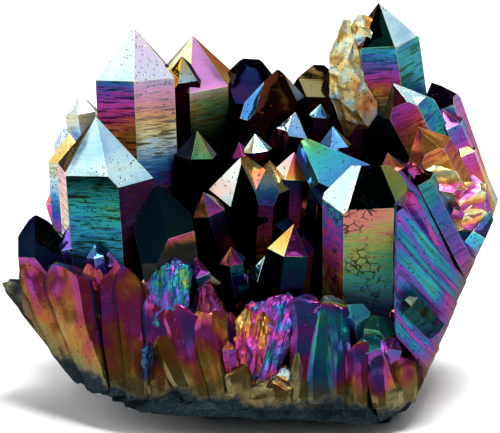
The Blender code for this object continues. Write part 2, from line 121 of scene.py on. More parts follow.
LEAVES = (
    # the front, left to right
    Leaf((-31.2, -9, 9), (-39.2, -4, 21), 2.6, -30, (0.66, 0.8, 0.3, 0.2), (0.5, 0.8), 3, 4),
    Leaf((-27.4, -13.6, 6), (-35.2, -6.8, 25.6), 3.3, -30, (0.62, 0.8, 0.45, 0.72), (0.5, 0.84), 3, 5.5,
        tone=0.46),
    Leaf((-24, -17.8, 6), (-29.6, -9.8, 26.2), 4.7, -20, (0.595, 0.84, 0.44, 0.84), (0.5, 0.84), 4, 6,
        tone=0.42),
    Leaf((-22.4, -18, 6), (-25.6, -9, 25.6), 2.2, 4, (0.74, 0.3, 0.22, 0.8), (0.5, 0.85), 3, 14),
    Leaf((-20.4, -19, 6), (-22.4, -10.4, 26), 3.2, -14, (0.62, 0.78, 0.45, 0.74), (0.6, 0.86), 3, 6),
    Leaf((-17.4, -19.8, 5.6), (-18.6, -11.4, 26), 3.3, 14, (0.615, 0.82, 0.44, 0.82), (0.6, 0.8), 3, 6.5),
    Leaf((-13.8, -19.6, 6), (-14.4, -13.6, 23.4), 2.9, -4, (0.67, 0.78, 0.47, 0.74), (0.6, 0.8), 3, 6.5),
    Leaf((-9, -20.8, 5.8), (-14.4, -16.4, 16.8), 2.6, -8, (0.56, 0.66, 0.44, 0.62), (0.45, 0.7), 3, 8,
        tone=0.32),
    Leaf((-7.4, -20.8, 5.6), (-11.6, -14.8, 21.6), 3.5, -6, (0.68, 0.82, 0.44, 0.84), (0.5, 0.8), 4, 9),
    Leaf((-4, -21, 5), (-7.6, -14.4, 20.6), 3.5, 16, (0.63, 0.54, 0.43, 0.78), (0.55, 0.78), 4, 8),
    Leaf((-1, -21.4, 4.8), (-2.2, -19.4, 12), 2.4, -8, (0.6, 0.5, 0.43, 0.66), (0.7, 0.7), 3, 7, tone=0.36),
    Leaf((2, -21.8, 4.6), (1.6, -20.2, 9.6), 2.8, 4, (0.54, 0.56, 0.43, 0.58), (0.8, 0.7), 3, 6, tone=0.34),
    Leaf((5, -21.8, 4.6), (4.6, -20.2, 10.4), 2.6, 10, (0.55, 0.62, 0.43, 0.6), (0.8, 0.7), 3, 6,
        tone=0.34),
    Leaf((7.2, -21.8, 3.6), (7.2, -19, 13.8), 1.3, 0, (0.43, 0.4, 0.41, 0.42), (0.6, 0.6), 3, 5, tone=0.3),
    Leaf((9, -21.8, 4.6), (8.5, -13.8, 21.8), 3, -14, (0.74, 0.67, 0.46, 0.8), (0.8, 0.94), 4, 8),
    Leaf((13.2, -21.4, 4.6), (12.8, -13.6, 21.4), 3.1, 12, (0.83, 0.72, 0.46, 0.345), (0.8, 0.93), 4, 8),
    Leaf((10.9, -22, 5.6), (11.3, -15.6, 20.2), 2.5, -2, (0.905, 0.56, 0.82, 0.87), (0.95, 0.25), 3, 6),
    Leaf((16.6, -21.6, 4.6), (16.4, -17.4, 15.4), 2.2, -4, (0.82, 0.66, 0.45, 0.345), (0.8, 0.92), 3, 7),
    Leaf((20.6, -20.4, 4.6), (18.9, -16.8, 15), 2.7, 12, (0.76, 0.56, 0.45, 0.6), (0.6, 0.8), 3, 6),
    Leaf((24.8, -18.4, 4.8), (23.2, -15.4, 12.8), 2.6, 20, (0.66, 0.6, 0.46, 0.76), (0.6, 0.7), 4, 5),
    Leaf((22.4, -19.8, 2.4), (21, -18.4, 8.8), 3, 14, (0.43, 0.42, 0.41, 0.45), (0.8, 0.7), 3, 5),
    Leaf((27.6, -16.2, 4), (26, -13.4, 12.6), 2.6, 30, (0.78, 0.62, 0.46, 0.8), (0.6, 0.8), 3, 5),
    # the right: slanting sheets of long flat crystals
    Leaf((37.4, -2.6, 19.3), (21.5, -7.2, 38.1), 2.8, 16, (0.8, 0.66, 0.72, 0.84), (1, 0.97), 2, 2, True,
        0.8),
    Leaf((36.4, -7, 14.7), (20.5, -12, 34.4), 2.9, 12, (0.82, 0.68, 0.74, 0.83), (1, 0.97), 2, 2, True,
        0.8),
    Leaf((35.2, -10.6, 12.8), (20, -14.2, 29.4), 2.6, 8, (0.83, 0.7, 0.66, 0.84), (1, 0.97), 2, 4, True,
        0.8),
    Leaf((33.6, -12.8, 11), (20, -15.6, 25.4), 2.4, 10, (0.8, 0.67, 0.68, 0.82), (1, 0.97), 2, 4, True,
        0.8),
    Leaf((31.2, -14.6, 8.1), (20.5, -15.8, 20.7), 2.2, 14, (0.82, 0.68, 0.6, 0.82), (1, 0.97), 2, 5, True,
        0.8),
    Leaf((29.6, -6.2, 26.6), (23.6, -9, 37.4), 1.4, 14, (0.65, 0.62, 0.66, 0.58), (0.7, 0.9), 2, 2),
    Leaf((31.4, -2.4, 30.6), (25.4, -4.8, 40.4), 1.3, 18, (0.68, 0.72, 0.7, 0.62), (0.7, 0.9), 2, 2),
)

SHEETS_FROM = 22.7              # the sheets end in a line beside the large front crystal
LEAF_BULGE = 0.4
NO_EDGE = 5.0                   # distance to an edge where none is to be worn

# rough masses among the leaves: druse that grew over them
LUMPS = (
    Leaf((0.8, -20, 7.6), (5.4, -13, 22), 4.6, -6, (0.74, 0.84, 0.6, 0.84), (0.5, 0.7), 6, 5, False, 1),
    Leaf((-0.8, -20.2, 8.2), (1.8, -14.2, 20.6), 3.7, -16, (0.6, 0.7, 0.56, 0.66), (0.5, 0.7), 5, 5, False,
        0.85),
    Leaf((-12.4, -17.4, 11.6), (-12.8, -13, 27.4), 3.8, -6, (0.84, 0.8, 0.82, 0.8), (0.8, 0.85), 5, 3,
        False, 0.9),
    Leaf((-4.6, -16, 9.6), (-7, -12.6, 24), 3.4, 30, (0.62, 0.66, 0.6, 0.68), (0.5, 0.6), 6, 3, False,
        0.35),
    Leaf((-16, -20.4, 8.8), (-16, -18.6, 15.8), 1.3, 0, (0.22, 0.3, 0.24, 0.34), (0.7, 0.6), 4, 2, False,
        0.5),
)

# short crystals among the leaves
FLANK = {
    "front_low": Crystal((6.9, -10.5, 31.6), 6, -6, 12, 3.3),
    "flank_a": Crystal((-16, -12.4, 24), -2, 4, 16, 1),
    "flank_b": Crystal((-8.8, -9.5, 26.2), -5, -14, 34, 2.2),
    "flank_c": Crystal((-3.4, -18.4, 15), -6, 4, 26, 1, root=3),
    "flank_h": Crystal((-24.6, -8.4, 27.6), -8, 2, 22, 1.4),
    "flank_i": Crystal((-22.4, -8, 26.4), -6, -8, -24, 1.5),
    "shaft_a": Crystal((31.2, 8, 45.9), -24, 2, 16, 2.3),
    "shaft_b": Crystal((33.6, 7, 41.4), -20, 4, 20, 2.2),
    "shaft_c": Crystal((35.4, 5, 36.4), -16, 4, 24, 2.1),
    "shaft_d": Crystal((26, -4, 39.4), -27, -5, 12, 2, root=20),
    "dark_block": Crystal((23.2, -16.4, 21.8), -44, -4, 44, 1.7, root=15.8, blunt=1.2),
    "green_a": Crystal((16, -13.4, 21.2), -6, -6, 30, 2.5, {}, {0: -0.4}, 8, 1.8),
    "green_b": Crystal((20.4, -13.8, 19.6), 6, -2, -12, 2.8, {}, {1: -0.6}, 8, 2),
    "green_c": Crystal((17.6, -16.2, 16.6), -20, 6, 8, 2.3, {}, {0: -0.5}, 6, 1.7),
    "green_d": Crystal((22.6, -15, 16), 18, 4, 22, 2.3, {}, {-1: -0.4}, 6, 1.7),
}

HOLLOW = {
    # middle-sized crystals in the hollow between the large ones
    "hollow_a": Crystal((-8.6, 8, 42.4), 4, 0, 20, 3.2),
    "hollow_b": Crystal((-7.4, -3, 34.9), -16, -8, 28, 2.6),
    "hollow_c": Crystal((7.4, 7.4, 45.6), 12, 6, 24, 2.9, {}, {-1: 0.4}),
    "hollow_d": Crystal((11.5, 9, 46.6), 6, 0, 8, 1.6),
    "hollow_e": Crystal((0.8, 4, 42.8), -6, 4, 14, 2.2),
    "hollow_f": Crystal((-1.8, 4, 41.4), -14, 0, 34, 1.7),
    "hollow_g": Crystal((13.4, 6, 43.6), -4, 4, 18, 2.6),
    "hollow_h": Crystal((-3, -9.5, 27.6), -6, -10, 20, 1.9),
    "hollow_i": Crystal((2.4, -9, 26), 2, -8, 8, 2.6),
    "hollow_j": Crystal((22, 0, 40.6), -16, -4, 24, 2.2),
}

BACK = {
    # the side away from the front
    "back_a": Crystal((-28.4, 18, 46.4), -8, 10, 20, 2.6),
    "back_b": Crystal((-25.6, 19.5, 43.6), -4, 12, -10, 2.2),
    "back_c": Crystal((-31, 15, 41.4), -14, 8, 5, 2),
    "back_d": Crystal((-14.5, 25, 43), -4, 14, 12, 4.4, {1: 0.4}),
    "back_e": Crystal((-3.5, 26, 38.5), 2, 20, 26, 3.8),
    "back_f": Crystal((7.5, 25.5, 43.5), 4, 14, 4, 4.2, {0: 0.5}),
    "back_g": Crystal((18.5, 24, 46), 6, 10, -18, 4.6, {2: 0.6}),
    "back_h": Crystal((27.5, 21.5, 41.5), 4, 8, 8, 4.4),
    "back_i": Crystal((-24, 22, 33), -18, 20, 14, 3.6),
    "back_j": Crystal((33, 14, 36), 6, 10, -4, 3.4),
    "back_k": Crystal((-31.8, 11, 34), -18, 10, 22, 3),
}

# Flat cut and sloping sides of the underside: a point on each plane and its outward direction.
UNDERSIDE = (
    ((0, 0, 0), (0, 0, -1)),
    ((0, -12, 0), (-0.05, -0.31, -0.95)),
    ((0, -23.2, 0), (0, -1, 0.05)),
    ((-12, 0, 0), (-0.31, -0.08, -0.95)),
    ((-27.6, 0, 4.9), (-0.75, -0.05, -0.66)),
    ((-28.5, -14, 0), (-0.60, -0.80, 0)),
    ((26.4, 0, 0.5), (0.91, -0.12, -0.40)),
    ((24, -16, 2.5), (0.55, -0.40, -0.73)),
    ((33.5, -15, 0), (0.66, -0.75, 0)),
    ((0, 19, 1), (0, 0.86, -0.51)),
    ((20, 14, 1), (0.60, 0.62, -0.50)),
    ((-19, 14, 1), (-0.60, 0.60, -0.53)),
)

# added to the depth behind a sloping and a steep side, so that the film reaches lower there
SLOPE_RISE, STEEP_RISE = 3.2, 4.6
MATRIX_RADII = (40.0, 24.5, 15.5)

# Broken lumps, each a middle and its radii: the fracture on the right, and the slab beside the tallest
# crystal.
FRACTURE_LUMPS = (
    ((30.6, -1.5, 35.4), (5.0, 3.2, 3.2)),
    ((34.4, -0.5, 33.2), (4.0, 3.6, 3.2)),
    ((33.2, -1.2, 30.0), (4.0, 3.4, 3.2)),
    ((35.6, 1.4, 29.8), (2.8, 3.0, 3.2)),
)
SLAB_LUMPS = (
    ((16.9, 13.6, 50.0), (3.4, 2.8, 8.2)),
    ((18.8, 13.8, 56.4), (2.2, 2.4, 3.6)),
    ((18.2, 13.0, 46.0), (2.4, 2.8, 5.0)),
)
# their film, how much it varies, and the strength of the growth lines and the crust
FRACTURE = (0.54, 0.13, 0.3, 0.3)
SLAB = (0.415, 0.045, 0.15, 0.6)
BREAKS = 18                     # random planes that break a lump
CHIP_DEPTH = (0.72, 1.05)       # their distances from its middle, as shares of its radii

DRUSE_COUNT = 90
DRUSE_HALF = (0.7, 1.9)
DRUSE_RISE = (2.5, 10.0)
DRUSE_AREA = (33.0, 19.0)
DRUSE_ROUND = 36.0
DRUSE_LEAN = 16

# The solid draws a row of crystals on the front rim between the druse and the outer crystals. The leaves
# stand there here, so its draws are passed over, and the outer crystals keep the solid's places.
FRONT_ROW_DRAWS = 272
RIM_FRONT = -20.0
RIM_CURVE = 0.0135

OUTER_COUNT = 46
OUTER_RING = (32.0, 20.0)
OUTER_FROM, OUTER_TURN = 200, 235
OUTER_HALF = (1.8, 3.0)
OUTER_TOP = 17
OUTER_STEP = 9
OUTER_INSET = 0.06
OUTER_LEAN = 12
OUTER_BEHIND_SHEETS = 3.5       # how much lower they are behind the sheets

# painted shade in the cut growth lines
LINE_SHADE = (0.004, 0.006, 0.008, 1)
# painted shade in the pits and cracks
PIT_SHADE = (0.004, 0.005, 0.006, 1)
# pale edges: partly thinner film at the edges, partly a painted highlight
PALE_EDGE_FILM_AND_GLINT = (0.55, 0.66, 0.36, 1)
# painted highlight: the pale that whitens faces as if they mirrored a bright lamp
PAINTED_GLARE = (0.95, 0.92, 0.96, 1)
STONE_FLECK = (0.03, 0.034, 0.028, 1)
CAP_LINES = 0.12                # strength of the growth lines on the point's faces
PLATED = 0.7                    # a face with growth lines of this strength is cracked into plates
BUMP = 0.1 * MM                 # depth of the film's finest relief

# name, azimuth, elevation, width and height in metres, and the setting that holds the brightness
LIGHTS = (
    ("softbox_left", -82, 34, 0.90, 0.76, "left_glow"),
    ("softbox_low", -118, 14, 0.36, 0.24, "low_glow"),
    ("softbox_right", 84, 54, 0.90, 0.48, "right_glow"),
    ("softbox_side", 60, 12, 0.90, 0.26, "side_glow"),
    ("softbox_back", 180, 70, 0.66, 0.60, "back_glow"),
    ("top_light", 70, 80, 0.34, 0.34, "top_glow"),
)
LIGHT_DISTANCE = 0.8
LIGHT_AIM = (0, 0, 0.03)        # metres
CAMERA_AIM = (0, 0, 30)         # millimetres
ROOM_COLOUR = (0.06, 0.064, 0.068, 1)


def on(faces, top, foot):
    """The same film on several faces."""
    return {face: (top, foot) for face in faces}


# Film on the crystals. prism and cap give single faces: film at the top, film at the foot, and for a prism
# the millimetres between them. stripe is the strength of the growth lines, and the fourth field, the
# painted light, darkens single faces towards black as a painted dark reflection, or pales them towards
# white as a painted highlight when it is over 1 (or runs from its first to its second value, from so many
# millimetres below the tip, over so many more). satin dulls them, crust makes them rough, and span is the
# film of faces without a film of their own.
Coat = namedtuple("Coat", "prism cap stripe tone satin span crust",
                  defaults=({}, {}, 0.5, {}, {}, (0.58, 0.98), {}))
COATS = {
    "front_left": Coat({0: (0.88, 0.78, 18), 1: (0.74, 0.62, 14)}, {0: (0.335, 0.34), 1: (0.33, 0.33)}, 1,
        {"prism 0": (0.02, 0.65, 9, 4.5), "prism 1": 0.16}, {"prism 1": 0.5, "cap 0": 0.35},
        crust={1: 0.4}),
    "front_left_twin": Coat({0: (0.4, 0.2, 9), 1: (0.36, 0.2, 8)}, {0: (0.45, 0.48), 1: (0.52, 0.6)}, 0.4,
        {"prism": 0.7, "cap": 0.9}, {"cap": 0.5}),
    "back_left": Coat({0: (0.84, 0.36, 15), 1: (0.725, 0.3, 14)}, {0: (0.335, 0.345), 1: (0.68, 0.78)}, 1,
        {"prism 0": (0.5, 0.2, 12, 8), "prism 1": (1.4, 0.8, 9, 12), "cap 1": 1.6}, {"prism 1": 0.3}),
    "back_middle": Coat({0: (0.985, 0.9, 8), -1: (0.5, 0.4, 16)},
        {-1: (0.42, 0.46), 0: (0.71, 0.675), 1: (0.56, 0.48)}, 0.9,
        {"prism -1": 0.02, "cap 0": 1.2, "cap 1": 0.8, "prism 0": (1.4, 0.03, 8.6, 5.5)},
        {"prism 0": 0.5, "cap 0": 0.6, "cap 1": 1}),
    "back_middle_twin": Coat({0: (0.6, 0.46, 16)}, {-1: (0.48, 0.44), 0: (0.47, 0.24), 1: (0.84, 0.6)}, 0.6,
        {"prism": 0.02, "cap 1": 0.02}, {"cap 0": 0.8}),
    "centre_back": Coat({}, {0: (0.56, 0.55), -1: (0.32, 0.22), 1: (0.52, 0.2)}, 0.3,
        {"cap 0": 0.1, "cap -1": 1, "cap 1": 0.5, "prism": 0.005}, {"cap 1": 0.6}),
    "centre_back_left": Coat({}, {0: (0.22, 0.2), -1: (0.22, 0.4), 1: (0.46, 0.44)}, 0.4,
        {"cap": 0.012, "prism": 0.01}),
    "centre_back_right": Coat({}, {0: (0.44, 0.42), 1: (0.27, 0.3)}, 0.4,
        {"cap": 0.02, "cap 1": 0.2, "prism": 0.01}, {"cap 1": 1}),
    "tall_right": Coat({0: (0.93, 0.5, 9.4), 1: (0.85, 0.81, 12), -1: (0.6, 0.5, 12)},
        {0: (0.9, 0.88), 1: (0.345, 0.345)}, 0.8,
        {"prism 0": (0.95, 0.05, 14, 4), "cap 0": 0.03, "prism 1": 1, "prism": 0.1},
        {"prism 0": 0.4, "prism 1": 0.7}, crust={1: 0.15}),
    "leaning_right": Coat({0: (0.68, 0.5, 7), 1: (0.85, 0.8, 16)},
        {0: (0.62, 0.6), 1: (0.345, 0.335), -1: (0.6, 0.6)}, 0.8,
        {"cap 0": 0.04, "cap -1": 0.02, "prism 1": 1, "prism -1": 0.05}, {"prism 0": 0.4, "prism 1": 0.8},
        crust={1: 0.5}),
    "leaning_right_low": Coat({0: (0.56, 0.45, 8), 1: (0.6, 0.5, 9)},
        {0: (0.54, 0.5), 1: (0.55, 0.5), -1: (0.62, 0.52)}, 0.6, {"cap": 0.6}, {"prism": 0.5, "cap": 0.6}),
    "right_back": Coat({0: (0.84, 0.5, 9), 1: (0.7, 0.5, 14)}, {0: (0.7, 0.72), 1: (0.66, 0.7)}, 0.5,
        {"cap": 0.1, "prism 1": 1.1}, {"prism": 0.8}),
    "centre_slab": Coat({0: (0.8, 0.7, 12)}, {1: (0.9, 0.78), -1: (0.84, 0.78)}, 0.4,
        {"cap -1": 0.1, "cap 1": 0.45, "prism": 0.05}, {"cap 1": 0.3}),
    "front_right": Coat({0: (1.04, 0.87, 15), -1: (0.86, 0.62, 12), 1: (0.92, 0.86, 18)},
        {-1: (0.345, 0.35), 0: (0.86, 0.84), 1: (0.955, 0.95)}, 0.7, {"cap 0": 0.04,
        "prism 0": (0.95, 1.04, 15, 8), "prism -1": 0.9, "cap -1": 0.95, "break": 0.4, "cap 1": 1},
        {"prism 0": 1.4, "prism -1": 1.2, "cap 1": 0.7}, crust={-1: 0.9}),
    "centre": Coat({0: (0.8, 0.6, 12), -1: (0.7, 0.5, 8)},
        {-1: (0.34, 0.335), 0: (0.82, 0.8), 1: (0.5, 0.22)}, 0.4,
        {"cap 0": 0.015, "cap -1": 1.4, "cap -2": 0.1, "prism": 0.03, "cap 1": 0.5},
        {"cap -1": 0.8, "cap 1": 0.5}),
    "centre_right": Coat({}, {0: (0.46, 0.2), 1: (0.45, 0.42), -1: (0.5, 0.6)}, 0.4,
        {"prism": 0.04, "cap": 0.5}, {"cap": 0.6}),
    "centre_right_thin": Coat({}, {-1: (0.65, 0.4), 0: (0.62, 0.47)}, 0.4, {"prism": 0.04, "cap -1": 1.35},
        {"cap": 0.5}),
    "front_centre_left": Coat({0: (0.8, 0.42, 5), -1: (0.84, 0.44, 5)}, {-1: (0.84, 0.8), 0: (0.84, 0.84)},
        0.4, {"cap -1": 0.015, "cap 0": 0.02, "prism": (1.15, 0.01, 7.4, 1.7)}, {"prism": 0.6}),
    "far_left": Coat({0: (0.68, 0.58, 8), 1: (0.8, 0.5, 9), -1: (0.4, 0.3, 9)},
        {0: (0.2, 0.2), 1: (0.2, 0.2)}, 0.4, {"cap": 0.04, "prism 0": (0.7, 0.15, 5, 5), "prism -1": 0.1},
        {"prism": 0.6}),
    "far_left_low": Coat({0: (0.74, 0.7, 9)}, {0: (0.68, 0.7), 1: (0.4, 0.4)}, 0.4,
        {"cap 0": 0.02, "prism 0": 0.15}),
    "right_tip": Coat({0: (0.84, 0.72, 8), 1: (0.82, 0.7, 8), -1: (0.84, 0.74, 8)},
        {-1: (0.84, 0.8), 0: (0.84, 0.7), 1: (0.84, 0.72)}, 0.4, {"prism": (1, 0.12, 7.5, 3)},
        {"prism": 0.3, "cap": 0.3}),
    # among the leaves, in the hollow and behind
    "front_low": Coat({}, {-1: (0.55, 0.42), 0: (0.67, 0.7), 1: (0.2, 0.2)}, 0.4,
        {"prism": 0.03, "cap 1": 0.2}),
    "hollow_a": Coat({}, {-1: (0.2, 0.3), 0: (0.97, 0.86), 1: (0.48, 0.28)}, 0.4,
        {"prism": 0.01, "cap": 0.4, "cap -1": 0.05}, {"cap": 0.8}),
    "hollow_b": Coat({}, {-1: (0.6, 0.5), 0: (0.8, 0.6), 1: (0.5, 0.45)}, 0.4, {"prism": 0.05, "cap": 0.3},
        {"cap": 0.5}),
    "hollow_c": Coat({}, {-1: (0.34, 0.28), 0: (0.3, 0.24)}, 0.4,
        {"prism": 0.02, "cap -1": 1.3, "cap 0": 1.1}),
    "hollow_d": Coat({}, {-1: (0.34, 0.3), 0: (0.28, 0.24), 1: (0.2, 0.2)}, 0.4, {"prism": 0.05}),
    "hollow_e": Coat({}, {-1: (0.34, 0.42), 0: (0.3, 0.27), 1: (0.36, 0.3)}, 0.4, {"prism": 0.02},
        {"cap": 0.7}),
    "hollow_g": Coat({}, {-1: (0.24, 0.22), 0: (0.27, 0.24), 1: (0.42, 0.46)}, 0.4,
        {"prism": 0.05, "cap": 0.35}, {"cap": 0.8}),
    "hollow_h": Coat({}, {-1: (0.52, 0.6), 0: (0.6, 0.7)}, 0.4, {"prism": 0.1, "cap": 0.35}, {"cap": 0.5}),
    "hollow_i": Coat({}, {-1: (0.34, 0.3), 0: (0.8, 0.8), 1: (0.35, 0.34)}, 0.4,
        {"prism": 0.02, "cap 0": 0.03}),
    "hollow_j": Coat({}, {-1: (0.56, 0.6), 0: (0.5, 0.6), 1: (0.2, 0.2)}, 0.4, {"prism": 0.05, "cap": 0.3},
        {"cap": 0.5}),
    "back_a": Coat({}, on(SIDES, 0.4, 0.34), 0.4, {"prism": 1.1, "cap": 1.3}, {"prism": 1, "cap": 1},
        (0.36, 0.46)),
    "back_c": Coat({}, on(SIDES, 0.3, 0.27), 0.4, {"prism": 1.1, "cap": 1.3}, {"prism": 1, "cap": 1},
        (0.28, 0.4)),
    "shaft_a": Coat({}, {0: (0.66, 0.7)}, 0.4, {"prism": 0.95, "cap": 0.45}, {"prism": 0.8, "cap": 0.6},
        (0.66, 0.86)),
    "shaft_b": Coat({}, {0: (0.6, 0.5)}, 0.4, {"prism": 0.95, "cap": 0.45}, {"prism": 0.8, "cap": 0.6},
        (0.5, 0.7)),
    "shaft_d": Coat({0: (0.86, 0.76, 9), 1: (0.84, 0.78, 9)}, {0: (0.6, 0.58)}, 0.5,
        {"prism": 0.1, "prism 0": 0.6, "prism 1": 1, "cap": 0.08}, {"prism": 0.6}),
    "green_a": Coat({}, on(FRONT, 0.86, 0.8), 0.5, {"prism": 0.5, "cap": 0.4}, {"prism": 0.3, "cap": 0.3},
        (0.84, 0.9)),
    "green_b": Coat({}, on(FRONT, 0.9, 0.85), 0.5, {"prism": 0.7, "cap": 0.5}, {"prism": 0.3, "cap": 0.3},
        (0.86, 0.92)),
    "green_c": Coat({}, on(FRONT, 0.8, 0.86), 0.5, {"prism": 0.6, "cap": 0.45}, {"prism": 0.3, "cap": 0.3},
        (0.78, 0.88)),
    "green_d": Coat({}, on(FRONT, 0.72, 0.66), 0.5, {"prism": 0.6, "cap": 0.5}, {"prism": 0.6, "cap": 0.3},
        (0.66, 0.8)),
    "flank_h": Coat({}, on(FRONT, 0.84, 0.76), 0.4, {"prism": 0.5, "cap": 0.5}, {}, (0.76, 0.86)),
    "flank_i": Coat({}, on(FRONT, 0.72, 0.66), 0.4, {"prism": 0.5, "cap": 0.5}, {}, (0.66, 0.76)),
    "flank_c": Coat({}, on(FRONT, 0.6, 0.5), 0.4, {"prism": 0.3, "cap": 0.3}),
    "dark_block": Coat({}, {0: (0.9, 0.88)}, 0.8, {"prism": 0.12, "cap": 0.02, "break": 0.03},
        {"prism": 0.2, "cap": 0.5}, (0.88, 0.94), {0: 0.9, 1: 0.9}),
    "shaft_c": Coat({}, {0: (0.66, 0.8)}, 0.4, {"prism": 0.95, "cap": 0.45}, {"prism": 0.8, "cap": 0.6},
        (0.66, 0.86)),
}
# Plain coats. The first is painted shade deep between the crystals: prism faces of the hollow's crystals
# and the druse darkened almost to black, caps to a fifth of their colour. The second darkens prism faces a
# little, also painted shade.
HOLLOW_SHADE = Coat(stripe=0.4, tone={"prism": 0.04, "cap": 0.2}, span=(0.45, 0.95))
BEHIND = Coat(stripe=0.5, tone={"prism": 0.8})
ROUGH = Coat(stripe=0.35)


class FilmColours(bpy.types.PropertyGroup):
    """Colours of the titanium film, from the thinnest film to the thickest."""

    bronze: FloatVectorProperty(name="Bronze", description="Thinnest film",
                                subtype="COLOR", default=(0.012, 0.012, 0.014))
    umber: FloatVectorProperty(name="Umber", description="Brown film",
                               subtype="COLOR", default=(0.32, 0.17, 0.06))
    plum: FloatVectorProperty(name="Plum", description="First purple",
                              subtype="COLOR", default=(0.2, 0.05, 0.24))
    indigo: FloatVectorProperty(name="Indigo", description="First blue",
                                subtype="COLOR", default=(0.02, 0.05, 0.34))
    azure: FloatVectorProperty(name="Azure", description="Light blue",
                               subtype="COLOR", default=(0.05, 0.28, 0.6))
    silver: FloatVectorProperty(name="Silver", description="Pale silver blue",
                                subtype="COLOR", default=(0.5, 0.72, 0.76))
    straw: FloatVectorProperty(name="Straw", description="Pale yellow",
                               subtype="COLOR", default=(0.62, 0.58, 0.26))
    gold: FloatVectorProperty(name="Gold", description="Gold", subtype="COLOR", default=(0.66, 0.4, 0.07))
    orange: FloatVectorProperty(name="Orange", description="Orange",
                                subtype="COLOR", default=(0.68, 0.19, 0.04))
    crimson: FloatVectorProperty(name="Crimson", description="Pink red",
                                 subtype="COLOR", default=(0.58, 0.05, 0.15))
    magenta: FloatVectorProperty(name="Magenta", description="Magenta",
                                 subtype="COLOR", default=(0.55, 0.06, 0.44))
    violet: FloatVectorProperty(name="Violet", description="Second purple",
                                subtype="COLOR", default=(0.22, 0.06, 0.46))
    blue: FloatVectorProperty(name="Blue", description="Second blue",
                              subtype="COLOR", default=(0.03, 0.15, 0.5))
    teal: FloatVectorProperty(name="Teal", description="Teal", subtype="COLOR", default=(0.02, 0.36, 0.42))
    green: FloatVectorProperty(name="Green", description="Green",
                               subtype="COLOR", default=(0.05, 0.36, 0.15))
    lime: FloatVectorProperty(name="Lime", description="Yellow green",
                              subtype="COLOR", default=(0.38, 0.4, 0.08))
    rose: FloatVectorProperty(name="Rose", description="Thickest film",
                              subtype="COLOR", default=(0.70, 0.22, 0.17))
    olive: FloatVectorProperty(name="Olive", description="Worn film above the rim",
                               subtype="COLOR", default=(0.10, 0.085, 0.03))
    slate: FloatVectorProperty(name="Slate", description="Bare stone of the rim",
                               subtype="COLOR", default=(0.004, 0.014, 0.022))


FILM_STOPS = (
    ("bronze", 0.02), ("umber", 0.07), ("plum", 0.14), ("indigo", 0.20), ("azure", 0.27),
    ("silver", 0.34), ("straw", 0.41), ("gold", 0.48), ("orange", 0.54), ("crimson", 0.60),
    ("magenta", 0.66), ("violet", 0.72), ("blue", 0.78), ("teal", 0.84), ("green", 0.90),
    ("lime", 0.95), ("rose", 1.0),
)


class ClusterSizes(bpy.types.PropertyGroup):
    """Sizes that shape the crystals' surface."""

    face_grid: IntProperty(name="Face grid", description="Steps across a quarter of a large face",
                           default=6, min=1, max=12)
    edge_wear: FloatProperty(name="Edge wear", description="Width of the rounded edges",
                             default=0.00009, unit="LENGTH")
    waviness: FloatProperty(name="Waviness", description="Depth of a face's slight unevenness",
                            default=0.00007, unit="LENGTH")
    chipping: FloatProperty(name="Chipping", description="Depth of the flank crystals' relief",
                            default=0.00035, unit="LENGTH")


class StudioSettings(bpy.types.PropertyGroup):
    """Floor, lights and camera."""

    floor_colour: FloatVectorProperty(name="Floor", description="Colour of the floor",
                                      subtype="COLOR", default=(0.93, 0.93, 0.935))
    left_glow: FloatProperty(name="Left softbox", description="Brightness of the left softbox", default=1.7)
    low_glow: FloatProperty(name="Low softbox", description="Brightness of the small low softbox",
                            default=2.0)
    right_glow: FloatProperty(name="Right softbox", description="Brightness of the right softbox",
                              default=1.05)
    side_glow: FloatProperty(name="Side strip", description="Brightness of the low strip on the right",
                             default=0.9)
    back_glow: FloatProperty(name="Back light", description="Brightness of the light behind and above",
                             default=2.6)
    top_glow: FloatProperty(name="Top light", description="Brightness of the small light overhead",
                            default=24.0)
    distance: FloatProperty(name="Distance", description="From the camera to the cluster",
                            default=0.4, unit="LENGTH")
    elevation: FloatProperty(name="Elevation", description="Camera above the floor's plane",
                             subtype="ANGLE", default=math.radians(15))
    lens: FloatProperty(name="Lens", description="Focal length in millimetres", default=178.85)


def growth_frame(side, back):
    """Directions of a crystal that leans: across, away from the front, and along its axis."""
    axis = np.array((math.tan(math.radians(side)), math.tan(math.radians(back)), 1.0))
    axis /= np.linalg.norm(axis)
    away = np.cross(axis, (1.0, 0.0, 0.0))
    away /= np.linalg.norm(away)
    return np.cross(away, axis), away, axis


def growth_planes(spec):
    """Faces of a crystal: kind and number, outward direction, and distance from the origin of each."""
    across, away, axis = growth_frame(spec.side, spec.back)
    tip = np.array(spec.tip, float)
    faces = []
    for face in SIDES:
        turn = math.radians(spec.spin + 60 * face)
        outward = across * math.sin(turn) - away * math.cos(turn)
        faces.append(("prism", face, outward, outward @ tip + spec.half + spec.prism.get(face, 0)))
        slope = outward * math.cos(CAP_SLOPE) + axis * math.sin(CAP_SLOPE)
        faces.append(("cap", face, slope, slope @ tip + spec.cap.get(face, 0)))
    foot = tip - axis * (tip[2] - spec.root) / axis[2]
    faces.append(("foot", 0, -axis, -axis @ foot))
    if spec.blunt:
        snap = (axis + BREAK_SLOPE * away) / math.hypot(1, BREAK_SLOPE)
        faces.append(("break", 0, snap, snap @ tip - spec.blunt))
    return faces


def trim_planes():
    """The underside's planes, as faces that cut every crystal."""
    faces = []
    for point, outward in UNDERSIDE:
        outward = np.array(outward, float) / np.linalg.norm(outward)
        faces.append(("foot", 1, outward, outward @ np.array(point, float)))
    return faces


